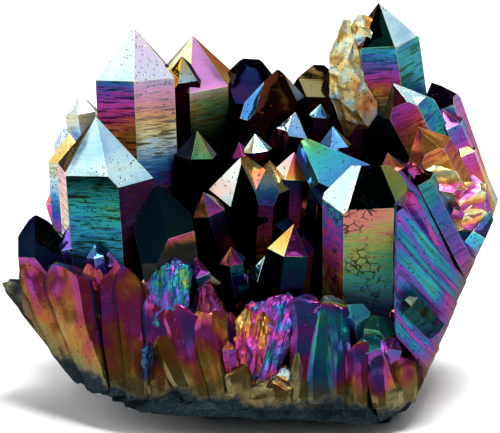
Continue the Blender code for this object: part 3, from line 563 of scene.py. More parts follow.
def body_corners(faces):
    """Corners of the convex body inside a set of planes.

    Three planes meet in one point: the sum of each distance times the cross product of the other two
    directions, over the triple product of the directions. The corners are the meeting points that lie
    inside every plane, each taken once.
    """
    outward = np.array([face[2] for face in faces])
    reach = np.array([face[3] for face in faces])
    trio = np.array(list(itertools.combinations(range(len(faces)), 3)))
    a, b, c = outward[trio[:, 0]], outward[trio[:, 1]], outward[trio[:, 2]]
    bc, ca, ab = np.cross(b, c), np.cross(c, a), np.cross(a, b)
    triple = (a * bc).sum(1)
    meet = np.abs(triple) > 1e-5
    r = reach[trio[meet]]
    points = (r[:, :1] * bc[meet] + r[:, 1:2] * ca[meet] + r[:, 2:] * ab[meet]) / triple[meet, None]
    points = points[(points @ outward.T <= reach + 1e-6).all(1)]
    gap = np.linalg.norm(points[:, None] - points[None], axis=2)
    first = (gap < SAME_CORNER).argmax(1) == np.arange(len(points))
    return points[first]


def face_outline(corners, outward, reach):
    """Corners that lie on one plane, in order round the face, or None where the plane is out of reach."""
    on_plane = corners[np.abs(corners @ outward - reach) < ON_PLANE]
    if len(on_plane) < 3:
        return None
    middle = on_plane.mean(0)
    first = on_plane[0] - middle
    first /= np.linalg.norm(first)
    turn = np.arctan2((on_plane - middle) @ np.cross(outward, first), (on_plane - middle) @ first)
    return on_plane[np.argsort(turn)]


def face_grid(outline, steps):
    """Points and quads of a flat face.

    The face is split into one quad for each corner: face middle, middle of the edge before, corner,
    middle of the edge after. A point at (s, t) in a quad is the bilinear mean of its four corners.
    """
    middle = outline.mean(0)
    after = (outline + np.roll(outline, -1, 0)) / 2
    before = np.roll(after, 1, 0)
    s, t = np.meshgrid(np.linspace(0, 1, steps + 1), np.linspace(0, 1, steps + 1), indexing="ij")
    s, t = s[None, ..., None], t[None, ..., None]
    quads = ((1 - s) * (1 - t) * middle + s * (1 - t) * before[:, None, None]
             + s * t * outline[:, None, None] + (1 - s) * t * after[:, None, None])
    count = len(outline)
    index = np.arange(count * (steps + 1) ** 2).reshape(count, steps + 1, steps + 1)
    ring = (index[:, :-1, :-1], index[:, 1:, :-1], index[:, 1:, 1:], index[:, :-1, 1:])
    return quads.reshape(-1, 3), np.stack(ring, -1).reshape(-1, 4)


def edge_distance(points, outline, outward):
    """Distance of points on a face to its nearest edge."""
    along = np.roll(outline, -1, 0) - outline
    along /= np.maximum(np.linalg.norm(along, axis=1), 1e-9)[:, None]
    inward = np.cross(outward, along)
    return np.abs(((points[:, None] - outline[None]) * inward[None]).sum(2)).min(1)


def ripple(points, wavelength, seed, count=14):
    """Smooth unevenness from -1 to 1: a sum of sine waves of about one wavelength in random directions."""
    rng = np.random.default_rng(seed)
    ways = rng.normal(size=(count, 3))
    pace = 2 * math.pi / (wavelength * rng.uniform(0.6, 1.6, (count, 1)))
    ways *= pace / np.linalg.norm(ways, axis=1)[:, None]
    phase = rng.uniform(0, 2 * math.pi, count)
    return np.clip(np.sin(points @ ways.T + phase).sum(1) / math.sqrt(count), -1, 1)


def rise(points):
    """Height of points over the rim, which sets where the film ends.

    Over a flat part of the underside it is the height over that plane. Under a sloping side it is the
    depth behind the plane and a constant, because the film reaches further down there.
    """
    height = np.full(len(points), FAR)
    for _, _, outward, reach in TRIM:
        if outward[2] >= -0.3:
            continue
        over = reach - points @ outward
        if outward[2] < -0.8:
            over = over / -outward[2]
        else:
            over = over + (SLOPE_RISE if outward[2] < -0.5 else STEEP_RISE)
        height = np.minimum(height, over)
    return height


class Surface:
    """Grids of one piece, gathered before they become a mesh."""

    def __init__(self):
        self.points, self.polygons, self.growth, self.coat, self.border, self.satin = [], [], [], [], [], []
        self.count = 0

    def add(self, points, polygons, growth, coat, edge, tone=1.0, satin=0.0):
        """Add a grid: points, quads, each point's growth, coat and distance to an edge, the painted
        reflection or shade that darkens or pales it, and its satin finish.
        """
        self.points.append(points)
        self.satin.append(np.full(len(points), satin))
        self.polygons.append(polygons + self.count)
        self.growth.append(growth)
        self.coat.append(coat)
        self.border.append(np.stack([edge, rise(points), tone + 0 * edge], 1))
        self.count += len(points)


def of_face(values, kind, number, plain):
    """The value of a single face, such as "cap 1", or else of its kind, or else the plain one."""
    return values.get(f"{kind} {number}", values.get(kind, plain))


def shade(tone, along):
    """Painted light of a face, which darkens or pales its colour as a painted reflection: one value, or (at
    the shoulder, lower down, where the shoulder is, length).
    """
    if not isinstance(tone, tuple):
        return tone
    high, low, shoulder, length = tone
    return high + (low - high) * np.clip((along - shoulder) / length, 0, 1)


def hash_place(point):
    """A number between 0 and 1 that differs from place to place."""
    wave = math.sin(point[0] * 12.9898 + point[1] * 78.233 + point[2] * 37.719)
    return math.modf(abs(wave) * 437.5453)[0]


def add_body(surface, faces, steps, paint, axis, tip, tone, satin):
    """Add every face of a convex body to a surface.

    paint gives the coat of a face at given points. The painted light darkens or pales a face or a kind of
    face as a painted reflection or shade, and satin gives its finish.
    """
    corners = body_corners(faces)
    place = hash_place(corners.mean(0))
    for kind, number, outward, reach in faces:
        outline = face_outline(corners, outward, reach)
        if outline is None:
            continue
        points, quads = face_grid(outline, steps)
        across = np.cross(axis, outward)
        size = np.linalg.norm(across)
        across = across / size if size > 1e-3 else np.cross(outward, (1.0, 0.0, 0.0))
        along = (tip - points) @ axis
        seed = (place + 0.13 * number + (0.5 if kind == "cap" else 0.0)) % 1.0
        growth = np.stack([along, (points - tip) @ across, np.full(len(points), seed)], 1)
        surface.add(points, quads, growth, paint(kind, number, points, along),
                    edge_distance(points, outline, outward),
                    shade(of_face(tone, kind, number, 1.0), along), of_face(satin, kind, number, 0.0))


def outward_normals(places, loops):
    """Direction out of the surface at each point: the mean of its quads' normals, from their diagonals."""
    a, b, c, d = (places[loops[:, corner]] for corner in range(4))
    normal = np.cross(c - a, d - b)
    normal /= np.maximum(np.linalg.norm(normal, axis=1), 1e-9)[:, None]
    out = np.zeros_like(places)
    for corner in range(4):
        np.add.at(out, loops[:, corner], normal)
    return out / np.maximum(np.linalg.norm(out, axis=1), 1e-9)[:, None]


def make_piece(name, surface, relief=None, bevel=0.0, crease=14):
    """Weld a surface's grids into one closed mesh in metres, sink the relief into it, and dress it."""
    points = np.concatenate(surface.points)
    quads = np.concatenate(surface.polygons)
    key = np.round(points, WELD_DIGITS)
    _, first, weld = np.unique(key, axis=0, return_index=True, return_inverse=True)
    weld = weld.ravel()
    loops = weld[quads]
    places = points[first]
    if relief is not None:
        edge = np.full(len(places), FAR)
        np.minimum.at(edge, weld, np.concatenate(surface.border)[:, 0])
        places = places - outward_normals(places, loops) * relief(places, edge)[:, None]
    # at a pole two corners of a quad are one, and the quad becomes a triangle
    kept = loops != np.roll(loops, 1, 1)
    kept[kept.sum(1) < 3] = False
    sides = kept.sum(1)
    sides = sides[sides > 0]
    mesh = bpy.data.meshes.new(name)
    mesh.vertices.add(len(places))
    mesh.vertices.foreach_set("co", ((places - CENTRE) * MM).ravel())
    mesh.loops.add(int(sides.sum()))
    mesh.loops.foreach_set("vertex_index", loops[kept])
    mesh.polygons.add(len(sides))
    mesh.polygons.foreach_set("loop_start", np.cumsum(sides) - sides)
    mesh.polygons.foreach_set("use_smooth", np.ones(len(sides), bool))
    for label, values in (("growth", surface.growth), ("coat", surface.coat), ("border", surface.border)):
        attribute = mesh.attributes.new(label, "FLOAT_VECTOR", "CORNER")
        attribute.data.foreach_set("vector", np.concatenate(values)[quads[kept]].ravel().astype(np.float32))
    attribute = mesh.attributes.new("satin", "FLOAT", "CORNER")
    attribute.data.foreach_set("value", np.concatenate(surface.satin)[quads[kept]].astype(np.float32))
    mesh.update(calc_edges=True)
    mesh.validate()
    mesh.set_sharp_from_angle(angle=math.radians(crease))
    mesh.materials.append(film_material())
    piece = bpy.data.objects.new(name, mesh)
    bpy.context.scene.collection.objects.link(piece)
    if bevel:
        round_edges(piece, bevel)
    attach(piece, "root")
    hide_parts(NODE)
    return piece


def round_edges(piece, width):
    """Round a piece's sharp edges a little, as if worn."""
    rounding = piece.modifiers.new("edge_wear", "BEVEL")
    rounding.width = width
    rounding.segments = 2
    rounding.limit_method = "ANGLE"
    rounding.angle_limit = math.radians(WORN_FROM)
    rounding.harden_normals = True
    rounding.use_clamp_overlap = True


def crystal_paint(spec, coat, rng, dull):
    """Film of one crystal: it falls from the top to the foot of each prism face, and down each cap face."""
    top = rng.uniform(*coat.span)
    fall = rng.uniform(0.22, 0.42)
    span = rng.uniform(9, 17)
    shoulder = spec.half / math.tan(CAP_SLOPE) * 0.9

    def paint(kind, number, points, along):
        """Film, strength of the growth lines and crust of each point of a face."""
        if kind == "prism":
            plain = top + 0.05 * math.sin(number * 2.3), top - fall, span
            high, low, length = coat.prism.get(number, plain)
            film = high + (low - high) * np.clip((along - shoulder) / length, 0, 1.6)
            stripe, rough = coat.stripe, coat.crust.get(number, dull)
        elif kind == "cap":
            plain = top - 0.15 + 0.09 * math.sin(number * 1.9 + top * 20), top - 0.1
            high, low = coat.cap.get(number, plain)
            film = high + (low - high) * np.clip(along / (spec.half * 1.6), 0, 1)
            stripe, rough = CAP_LINES, dull
        else:
            film = np.full(len(points), 0.6)
            stripe, rough = 0.0, dull
        return np.stack([film, np.full(len(points), stripe), np.full(len(points), rough)], 1)

    return paint


def add_crystal(surface, spec, coat, steps, rng, dull=0.0):
    """Add one crystal, cut by the underside, to a surface."""
    _, _, axis = growth_frame(spec.side, spec.back)
    paint = crystal_paint(spec, coat, rng, dull)
    add_body(surface, growth_planes(spec) + TRIM, steps, paint, axis, np.array(spec.tip, float), coat.tone,
             coat.satin)


def leaf_section(leaf, rng, steps):
    """Section of a leaf: a low arch of straight panels in front and a narrower back, closed.

    Its corners are moved a little at random, sideways and forward. The results are the places across, in
    half widths, the places forward, in depths, and how much they sway, with one row for each panel.
    """
    fold = np.linspace(-1, 1, leaf.folds + 1)
    shift, lift, sway = (np.array([rng.uniform(-most, most) for _ in fold]) for most in (0.3, 0.34, 0.4))
    shift, sway = shift * 2 / leaf.folds, sway / leaf.folds
    shift[[0, -1]] = lift[[0, -1]] = sway[[0, -1]] = 0.0
    arch, tilt = (0.15, 0.1) if leaf.banded else (0.6, 0.4)
    front = arch * np.sqrt(np.maximum(1 - fold ** 2, 0)) + lift + rng.uniform(-tilt, tilt) * fold
    across = np.concatenate([fold + shift, (0.75, -0.75)])
    forward = np.concatenate([front, (-2.2, -2.2)])
    sway = np.concatenate([sway, (0.0, 0.0)])
    share = np.linspace(0, 1, steps + 1)
    parts = (across, forward, sway)
    return [np.outer(part, 1 - share) + np.outer(np.roll(part, -1), share) for part in parts]


def leaf_width(leaf, u):
    """Width of a leaf at each share u of its length, as a share of the widest.

    It grows in a straight line from the foot to the shoulder, and then closes as a power of the way left to
    the tip. The smaller of the two is used, rounded where they meet: minus the logarithm of the sum of the
    exponentials of both, each times minus 14, over 14.
    """
    low, shoulder = leaf.shape
    widen = low + (1 - low) * u / shoulder
    close = ((1 - u) / (1 - shoulder)) ** 0.6
    width = np.maximum(-np.log(np.exp(-14 * widen) + np.exp(-14 * np.minimum(close, 9))) / 14, 0)
    width[[0, -1]] = 0.0
    return width[:, None]


def cut_tip(points, leaf, axis, across, out, rng):
    """Cut a leaf with two planes near its tip: a point past one moves back along the axis onto it."""
    ridge = np.array(leaf.tip, float) + across * leaf.half * rng.uniform(-0.45, 0.45)
    slopes = ((rng.choice((-1, 1)) * rng.uniform(0.3, 1.4), 0.1), (rng.uniform(-0.4, 0.4), 0.9))
    for sideways, forward in slopes:
        cut = axis + across * sideways + out * forward
        past = np.maximum((points - ridge) @ cut + rng.uniform(0.1, 0.35) * leaf.half, 0)
        points = points - axis * past[:, None]
    return points


def leaf_film(leaf, rng, x, u, above, points):
    """Film of a leaf's points.

    In from the edges and the tip it has the film of the middle. It turns to theirs as a high power of the
    way out, with a thin ring of lower film between. It follows the height over the rim, less at the edges,
    so that its bands hang down in the middle.
    """
    middle, edges, base, top = leaf.film
    full = np.ones(above.shape)
    inner = np.abs(np.linspace(-1, 1, above.shape[2])) * full if leaf.banded else np.abs(x)[:, None] * full
    crown = np.clip((u - 0.55) / 0.45, 0, 1)[:, None]
    sides, ends = (inner ** 6, crown ** 3) if leaf.banded else (inner ** 9, crown ** 5)
    ring = 1 - (1 - sides) * (1 - ends)
    panel = np.array([rng.uniform(-0.03, 0.03) for _ in x])[:, None, None]
    film = middle + (edges - middle) * sides + (top - middle) * ends - 0.25 * ring * (1 - ring) + panel
    if not leaf.banded:
        film = film + 0.06 * ripple(points * (1, 1, 0.6), 4.5, 62).reshape(above.shape)
    return base + (film - base) * np.clip(above / leaf.climb, 0, 1)


def add_leaf(surface, leaf, rng, crust=0.15, rows=32, steps=4):
    """Add one leaf-like crystal: a folded section carried along a line from its foot to its tip.

    A point lies at its share of the line, and beside and before it by its place in the section times the
    width there. The whole bulges forward by a half sine, and its tip bends sideways with the square of the
    way. It is tucked behind the underside's planes, and painted shade darkens it in the grooves beside it
    and at its foot.
    """
    foot, tip = np.array(leaf.foot, float), np.array(leaf.tip, float)
    axis = (tip - foot) / np.linalg.norm(tip - foot)
    turn = math.radians(leaf.face)
    out = np.array((math.sin(turn), -math.cos(turn), 0.0))
    out -= axis * (out @ axis)
    out /= np.linalg.norm(out)
    across = np.cross(axis, out)
    x, y, sway = leaf_section(leaf, rng, steps)
    u = np.concatenate([(0.0,), 1 - (1 - np.linspace(0, 1, rows - 1)) ** 1.25])
    width = leaf_width(leaf, u)
    wave = np.sin(2.6 * math.pi * u + rng.uniform(0, 6))[:, None]
    slant = 0.0 if leaf.banded else rng.uniform(-0.45, 0.45)
    bend = slant * np.clip((u - 0.6) / 0.4, 0, 1)[:, None] ** 2
    side = ((x[:, None] + sway[:, None] * wave) * width + bend) * leaf.half
    front = y[:, None] * width * (0.34 * leaf.half + 0.5) + LEAF_BULGE * np.sin(math.pi * u)[:, None]
    points = foot + (tip - foot) * u[:, None, None] + across * side[..., None] + out * front[..., None]
    points = points.reshape(-1, 3)
    if not leaf.banded:
        points = cut_tip(points, leaf, axis, across, out, rng)
    for _, _, outward, reach in TRIM:
        points = points - outward * np.maximum(points @ outward - reach, 0)[:, None]
    if leaf.banded:
        points[:, 0] = np.maximum(points[:, 0], SHEETS_FROM)

    full = np.ones(side.shape)
    off = np.abs(x)[:, None] * full
    above = rise(points).reshape(side.shape) - 3.2 - 2.2 * off
    above = above + 1.6 * ripple(points, 5.0, 61).reshape(side.shape)
    film = leaf_film(leaf, rng, x, u, above, points)
    long = np.linalg.norm(tip - foot) * (1 - u)[:, None] * full
    seeds = np.array([rng.random() for _ in x])[:, None, None] * full
    growth = np.stack([side * 1.6, long * 0.55, seeds], -1).reshape(-1, 3)
    lines = 0.5 if leaf.banded else 0.8 if crust > 0.4 else 0.2
    coat = np.stack([film, lines * full, crust * full], -1).reshape(-1, 3)
    # painted shade: darker in the grooves beside the leaf and towards its foot
    groove_shade = np.clip((off - 0.86) / 0.14, 0, 1) * (0.4 if leaf.banded else 0.8)
    tone = leaf.tone * ((1 - groove_shade) * (0.62 + 0.38 * np.clip(above / 8, 0, 1))).ravel()
    index = np.arange(full.size).reshape(full.shape)
    quads = np.stack([index[:, :-1, :-1], index[:, :-1, 1:], index[:, 1:, 1:], index[:, 1:, :-1]], -1)
    surface.add(points, quads.reshape(-1, 4), growth, coat, NO_EDGE * full.ravel(), tone, 0.5)


def foot_leaves(rng):
    """Low leaves along the rim, which close the gaps between the tall ones' feet, and a row behind them."""
    for index in range(34):
        x = -28 + 57 * index / 33 + rng.uniform(-0.6, 0.6)
        y = RIM_FRONT - 0.4 + RIM_CURVE * x * x
        z = 4.4 + 0.003 * x * x
        top, lean = rng.uniform(4.5, 10.5), -0.3 - 0.012 * x + rng.uniform(-0.15, 0.15)
        film = (rng.uniform(0.50, 0.62), rng.uniform(0.45, 0.54), 0.43, rng.uniform(0.50, 0.68))
        tip = (x + top * lean, y + 0.4 * top, z + top)
        yield Leaf((x, y, z), tip, rng.uniform(1.0, 1.9), rng.uniform(-20, 20) + x, film,
                   (0.8, rng.uniform(0.2, 0.5)), rng.choice((2, 3)), 6, tone=0.38)
    for index in range(18):
        x = -30 + 56 * index / 17 + rng.uniform(-0.8, 0.8)
        y = RIM_FRONT + 4 + RIM_CURVE * x * x
        top = rng.uniform(9, 13) + max(0.0, -0.1 * x)
        film = 0.64 + 0.004 * (x + 10) + rng.uniform(-0.04, 0.04)
        yield Leaf((x, y, 7), (x - 0.3 * top, y + 0.35 * top, 7 + top), rng.uniform(1.9, 2.8),
                   rng.uniform(-25, 25), (film, film - 0.08, 0.5, film + 0.06), (0.6, 0.65), 4, 6)


def uneven(spec, rng, spread=0.12):
    """The same crystal with its faces grown a little unevenly, as real ones are."""
    prism = {face: spec.prism.get(face, 0) + rng.uniform(-spread, spread) * spec.half for face in SIDES}
    cap = {face: spec.cap.get(face, 0) + rng.uniform(-spread, spread) * spec.half for face in SIDES}
    return spec._replace(prism=prism, cap=cap)


def matrix_height(x, y):
    """Height of the matrix's top at a place in plan, before its lumps."""
    inside = max(0.0, 1 - (x / MATRIX_RADII[0]) ** 2 - (y / MATRIX_RADII[1]) ** 2)
    return MATRIX_RADII[2] * math.sqrt(inside)


def druse_crystals(rng):
    """Small crystals that fill the floor between the large ones, in no order."""
    for _ in range(DRUSE_COUNT):
        x = rng.uniform(-1, 1) * DRUSE_AREA[0]
        y = rng.uniform(-1, 1) * DRUSE_AREA[1] * math.sqrt(max(0.05, 1 - (x / DRUSE_ROUND) ** 2))
        half = rng.uniform(*DRUSE_HALF)
        z = matrix_height(x, y) + rng.uniform(*DRUSE_RISE)
        side = -8 + 0.5 * x + rng.uniform(-DRUSE_LEAN, DRUSE_LEAN)
        back = 0.8 * y + rng.uniform(-DRUSE_LEAN, DRUSE_LEAN)
        yield uneven(Crystal((x, y, z), side, back, rng.uniform(0, 60), half), rng)


def outer_crystals(rng):
    """Side crystals from the left end round the back to the right end, leaning outward."""
    for index in range(OUTER_COUNT):
        share = (index + 0.5) / OUTER_COUNT
        angle = math.radians(OUTER_FROM - OUTER_TURN * share)
        row = index % 2
        reach = 1.0 - OUTER_INSET * row
        x = OUTER_RING[0] * math.cos(angle) * reach
        y = OUTER_RING[1] * math.sin(angle) * reach
        z = OUTER_TOP + OUTER_STEP * row + rng.uniform(-3, 4)
        side = OUTER_LEAN * math.cos(angle) + rng.uniform(-6, 4)
        back = OUTER_LEAN * math.sin(angle) + rng.uniform(-6, 4)
        half = rng.uniform(*OUTER_HALF)
        if x > 20 and y < -6:
            z -= OUTER_BEHIND_SHEETS
        yield uneven(Crystal((x, y, z), side, back, rng.uniform(0, 60), half, root=2), rng)


TRIM = trim_planes()
GROWTH = random.Random(11)
DRUSE = list(druse_crystals(GROWTH))
for _ in range(FRONT_ROW_DRAWS):
    GROWTH.random()
OUTER = list(outer_crystals(GROWTH))


def chosen(group):
    """Settings of one kind, held by the scene."""
    return getattr(bpy.context.scene, group)


class Nodes:
    """Short hand for building a material: every call adds a node and returns its first output."""

    def __init__(self, tree):
        self.tree = tree

    def feed(self, socket, value):
        """Link an output to a socket, or set the socket to a value."""
        if isinstance(value, bpy.types.NodeSocket):
            self.tree.links.new(value, socket)
        else:
            socket.default_value = value

    def add(self, kind, *inputs, out=0, **settings):
        """Add a node, set its properties, and feed its inputs in order (None leaves one alone)."""
        node = self.tree.nodes.new(kind)
        for key, value in settings.items():
            setattr(node, key, value)
        for socket, value in zip(node.inputs, inputs):
            if value is not None:
                self.feed(socket, value)
        return node.outputs[out]

    def math(self, operation, a, b=None, c=None, clamp=False):
        """A math node."""
        return self.add("ShaderNodeMath", a, b, c, operation=operation, use_clamp=clamp)

    def plus(self, a, b, clamp=False):
        """a + b."""
        return self.math("ADD", a, b, clamp=clamp)

    def minus(self, a, b, clamp=False):
        """a - b."""
        return self.math("SUBTRACT", a, b, clamp=clamp)

    def times(self, a, b):
        """a times b."""
        return self.math("MULTIPLY", a, b)

    def line(self, a, b, c):
        """a times b, plus c."""
        return self.math("MULTIPLY_ADD", a, b, c)

    def span(self, value, low, high):
        """Map a value smoothly from one range to 0 to 1."""
        return self.add("ShaderNodeMapRange", value, low, high, 0.0, 1.0, interpolation_type="SMOOTHSTEP")

    def split(self, vector):
        """The three parts of a vector."""
        node = self.tree.nodes.new("ShaderNodeSeparateXYZ")
        self.feed(node.inputs[0], vector)
        return tuple(node.outputs)

    def mix(self, share, a, b):
        """Mix two colours."""
        node = self.tree.nodes.new("ShaderNodeMix")
        node.data_type = "RGBA"
        for socket, value in ((0, share), (6, a), (7, b)):
            self.feed(node.inputs[socket], value)
        return node.outputs[2]

    def noise(self, vector, scale, detail=2.0, roughness=0.5, distortion=0.0):
        """A noise texture's grey value."""
        node = self.tree.nodes.new("ShaderNodeTexNoise")
        settings = {"Vector": vector, "Scale": scale, "Detail": detail, "Roughness": roughness,
                    "Distortion": distortion}
        for label, value in settings.items():
            self.feed(node.inputs[label], value)
        return node.outputs[0]

    def ramp(self, value, stops):
        """A colour ramp, its stops in order, each a position and a colour."""
        node = self.tree.nodes.new("ShaderNodeValToRGB")
        self.feed(node.inputs[0], value)
        elements = node.color_ramp.elements
        elements.remove(elements[1])
        elements[0].position, elements[0].color = stops[0]
        for at, colour in stops[1:]:
            elements.new(at).color = colour
        return node.outputs[0]


def film_patterns(n):
    """What the meshes say about the film at a point, and the noise that varies it."""
    p = SimpleNamespace(place=n.add("ShaderNodeTexCoord", out=3))
    growth, coat, border = (n.add("ShaderNodeAttribute", out=1, attribute_name=label)
                            for label in ("growth", "coat", "border"))
    p.satin = n.add("ShaderNodeAttribute", out=2, attribute_name="satin")
    along, across, seed = n.split(growth)
    p.film, p.stripe, p.crust = n.split(coat)
    p.edge, p.height, p.tone = n.split(border)
    # growth lines run across the crystal: the pattern is stretched across and tight along the axis
    p.lines_at = n.add("ShaderNodeCombineXYZ", n.line(across, 0.16, n.times(seed, 41.0)),
                       n.times(along, 1.7), n.times(seed, 17.0))
    p.lines = n.noise(p.lines_at, 1.0, 4.0, 0.62, 0.25)
    p.broad = n.noise(p.place, 130.0, 2.0, 0.5)
    p.fine = n.noise(p.place, 700.0, 3.0, 0.6)
    p.grain = n.noise(p.place, 2400.0, 3.0, 0.65)
    return p


def film_thickness(n, p):
    """Film thickness at a point: the mesh's own, wavering with the growth lines, drifting and speckled."""
    waver = n.times(n.minus(p.lines, 0.5), n.times(p.stripe, 0.26))
    drift = n.times(n.minus(p.broad, 0.5), 0.16)
    speckle = n.times(n.minus(p.fine, 0.5), n.line(p.crust, 0.6, 0.02))
    return n.plus(n.plus(p.film, waver), n.plus(drift, speckle))


def film_lines(n, p):
    """Growth lines that are cut deep, broad and hair-fine ones, fainter on the plated face."""
    hair_at = n.add("ShaderNodeVectorMath", p.lines_at, (2.2, 4.0, 2.0), operation="MULTIPLY")
    hair = n.noise(hair_at, 1.0, 2.0, 0.6, 0.3)
    cut = n.plus(n.span(p.lines, 0.53, 0.60), n.times(n.span(hair, 0.54, 0.60), 0.8), clamp=True)
    p.plated = n.math("COMPARE", p.stripe, PLATED, 0.04)
    return n.times(cut, n.line(p.plated, -0.45, p.stripe))


def film_pits(n, p):
    """Round pits in patches, and a net of cracks on the plated face."""
    cells = n.add("ShaderNodeTexVoronoi", p.place, None, 1400.0)
    pits = n.times(n.span(cells, 0.22, 0.15), n.span(p.broad, 0.42, 0.52))
    swirl = n.add("ShaderNodeTexNoise", p.place, None, 900.0, out=1)
    swirled = n.add("ShaderNodeVectorMath", swirl, (MM, MM, MM), p.place, operation="MULTIPLY_ADD")
    plates = n.add("ShaderNodeTexVoronoi", swirled, None, 760.0, feature="DISTANCE_TO_EDGE")
    some = n.times(n.span(p.broad, 0.47, 0.53), p.plated)
    cracks = n.times(n.span(plates, 0.10, 0.05), n.times(some, n.span(p.fine, 0.40, 0.48)))
    return n.math("MAXIMUM", pits, cracks)


def film_base(n, p):
    """Colour of the film by thickness, with painted shade in its lines and pits, pale edges that are partly
    thinner film and partly painted highlight, faces darkened or paled as painted reflections, and the stone
    of the rim.
    """
    colours = chosen("quartz_film")
    stops = [(at, (*getattr(colours, stop), 1)) for stop, at in FILM_STOPS]
    colour = n.ramp(film_thickness(n, p), stops)
    p.cut_line = film_lines(n, p)
    # painted shade darkens the cut growth lines
    colour = n.mix(n.times(p.cut_line, 0.85), colour, LINE_SHADE)
    p.pits = film_pits(n, p)
    # pale lines along the edges: partly thinner film there, partly a painted highlight, weaker on faces
    # painted dark
    edge_film_and_glint = n.times(n.span(p.edge, 0.13, 0.02), n.times(p.tone, 0.4))
    colour = n.mix(edge_film_and_glint, colour, PALE_EDGE_FILM_AND_GLINT)
    # painted reflection: a face whose painted light is under 1 is darkened towards black as if it mirrored
    # the dark room, and one over 1 is paled towards white as a painted highlight
    colour = n.mix(n.minus(1.0, p.tone, clamp=True), colour, (0.0, 0.0, 0.0, 1))
    colour = n.mix(n.minus(p.tone, 1.0, clamp=True), colour, PAINTED_GLARE)
    # painted shade darkens the pits and cracks
    colour = n.mix(n.times(p.pits, 0.92), colour, PIT_SHADE)
    # the film thins to olive and then to bare dark stone along the rim
    low = n.line(n.minus(p.fine, 0.5), 3.0, n.line(n.minus(p.broad, 0.5), 5.0, p.height))
    colour = n.mix(n.times(n.span(low, 7.0, 3.4), 0.85), colour, (*colours.olive, 1))
    p.foot = n.span(low, 4.2, 2.6)
    stone = n.mix(n.span(p.grain, 0.50, 0.66), (*colours.slate, 1), STONE_FLECK)
    return n.mix(p.foot, colour, stone)


def film_finish(n, p, shader):
    """How the film mirrors: the lines spread what a face mirrors up and down, and not to the sides."""
    lined = n.span(p.stripe, 0.25, 0.6)
    facing = n.add("ShaderNodeNewGeometry", out=1)
    level = n.add("ShaderNodeVectorMath", facing, (0.0, 0.0, 1.0), operation="CROSS_PRODUCT")
    upright = n.add("ShaderNodeVectorMath", level, facing, operation="CROSS_PRODUCT")
    n.feed(shader.inputs["Tangent"], upright)
    n.feed(shader.inputs["Anisotropic"], n.times(lined, 0.9))
    rough = n.line(p.cut_line, 0.15, n.line(lined, 0.24, 0.045))
    rough = n.line(p.crust, 0.22, rough)
    rough = n.line(p.foot, 0.5, rough)
    n.feed(shader.inputs["Roughness"], n.line(p.satin, 0.24, rough))
    n.feed(shader.inputs["Specular IOR Level"], n.line(p.foot, -0.4, 0.5))
    n.feed(shader.inputs["Metallic"], n.line(p.foot, -0.6, n.line(p.satin, -0.35, 1.0)))


def film_relief(n, p):
    """Fine relief of the film: the growth lines, the pits, the crust and the grain of the stone."""
    relief = n.times(p.lines, n.times(p.stripe, 0.9))
    relief = n.plus(relief, n.times(p.pits, -0.5))
    relief = n.plus(relief, n.times(p.fine, n.line(p.crust, 1.6, 0.06)))
    relief = n.plus(relief, n.times(p.grain, n.line(p.foot, 1.2, n.times(p.crust, 0.5))))
    bump = n.tree.nodes.new("ShaderNodeBump")
    n.feed(bump.inputs["Strength"], 1.0)
    n.feed(bump.inputs["Distance"], BUMP)
    n.feed(bump.inputs["Height"], relief)
    return bump.outputs[0]


def film_material():
    """Rainbow film on quartz: colour by film thickness, growth lines and pits in painted shade, pale edges
    partly painted highlight, faces darkened or paled as painted reflections, and a dull foot.
    """
    name = "titanium_film"
    if name in bpy.data.materials:
        return bpy.data.materials[name]
    material = bpy.data.materials.new(name)
    material.use_nodes = True
    n = Nodes(material.node_tree)
    p = film_patterns(n)
    shader = n.tree.nodes["Principled BSDF"]
    n.feed(shader.inputs["Base Color"], film_base(n, p))
    film_finish(n, p, shader)
    n.feed(shader.inputs["Normal"], film_relief(n, p))
    n.feed(shader.inputs["Coat Weight"], n.times(p.tone, 0.08))
    n.feed(shader.inputs["Coat Roughness"], 0.04)
    return material


def gentle(sizes):
    """Relief of a clean crystal face: long slight waves, none at the edges."""
    depth = sizes.waviness / MM

    def relief(points, edge):
        """How far each point sinks."""
        wave = 0.6 * ripple(points, 11.0, 5) + 0.4 * ripple(points, 4.5, 6)
        return depth * (1 + wave) * np.clip(edge / 1.2, 0, 1)

    return relief


def soft(sizes):
    """Relief of the leaves: long waves and shallow furrows."""
    depth = sizes.chipping / MM

    def relief(points, edge):
        """How far each point sinks."""
        furrows = ripple(points * (1, 1, 0.35), 1.6, 9)
        return depth * (1 + 0.35 * ripple(points, 6.0, 8) + 0.35 * furrows) * 0.5

    return relief


def rugged(sizes):
    """Relief of the rough masses: sharp-edged waves at several sizes."""
    depth = sizes.chipping / MM

    def relief(points, edge):
        """How far each point sinks."""
        steep = points * (1, 1, 0.5)
        wave = np.abs(ripple(steep, 3.4, 12))
        wave = wave + 0.5 * np.abs(ripple(steep, 1.5, 13))
        wave = wave + 0.2 * np.abs(ripple(steep, 0.7, 14))
        return depth * 1.4 * wave

    return relief


def chipped(sizes):
    """Relief of a rough side crystal: short waves all over, also at the edges."""
    depth = sizes.chipping / MM

    def relief(points, edge):
        """How far each point sinks."""
        wave = 0.5 * ripple(points, 5.0, 8) + 0.3 * ripple(points, 2.4, 9) + 0.2 * ripple(points, 1.3, 10)
        return depth * (1 + wave) * (0.45 + 0.55 * np.clip(edge / 0.8, 0, 1))

    return relief


def grow_crystals(name, crystals, plain, steps, rng, dull=0.0):
    """Make one piece of a table of crystals, each with its own coat or else the plain one."""
    sizes = chosen("quartz_sizes")
    surface = Surface()
    for label, spec in crystals.items():
        add_crystal(surface, spec, COATS.get(label, plain), steps, rng, dull)
    make_piece(name, surface, gentle(sizes), sizes.edge_wear)


class GrowLargeCrystals(bpy.types.Operator):
    """Grow the large clear-faced crystals"""

    bl_idname = "quartz.large_crystals"
    bl_label = "Large crystals"

    def execute(self, context):
        """Build every crystal of the main table with its own film."""
        grow_crystals("large_crystals", MAIN, BEHIND, chosen("quartz_sizes").face_grid, random.Random(3))
        return {"FINISHED"}


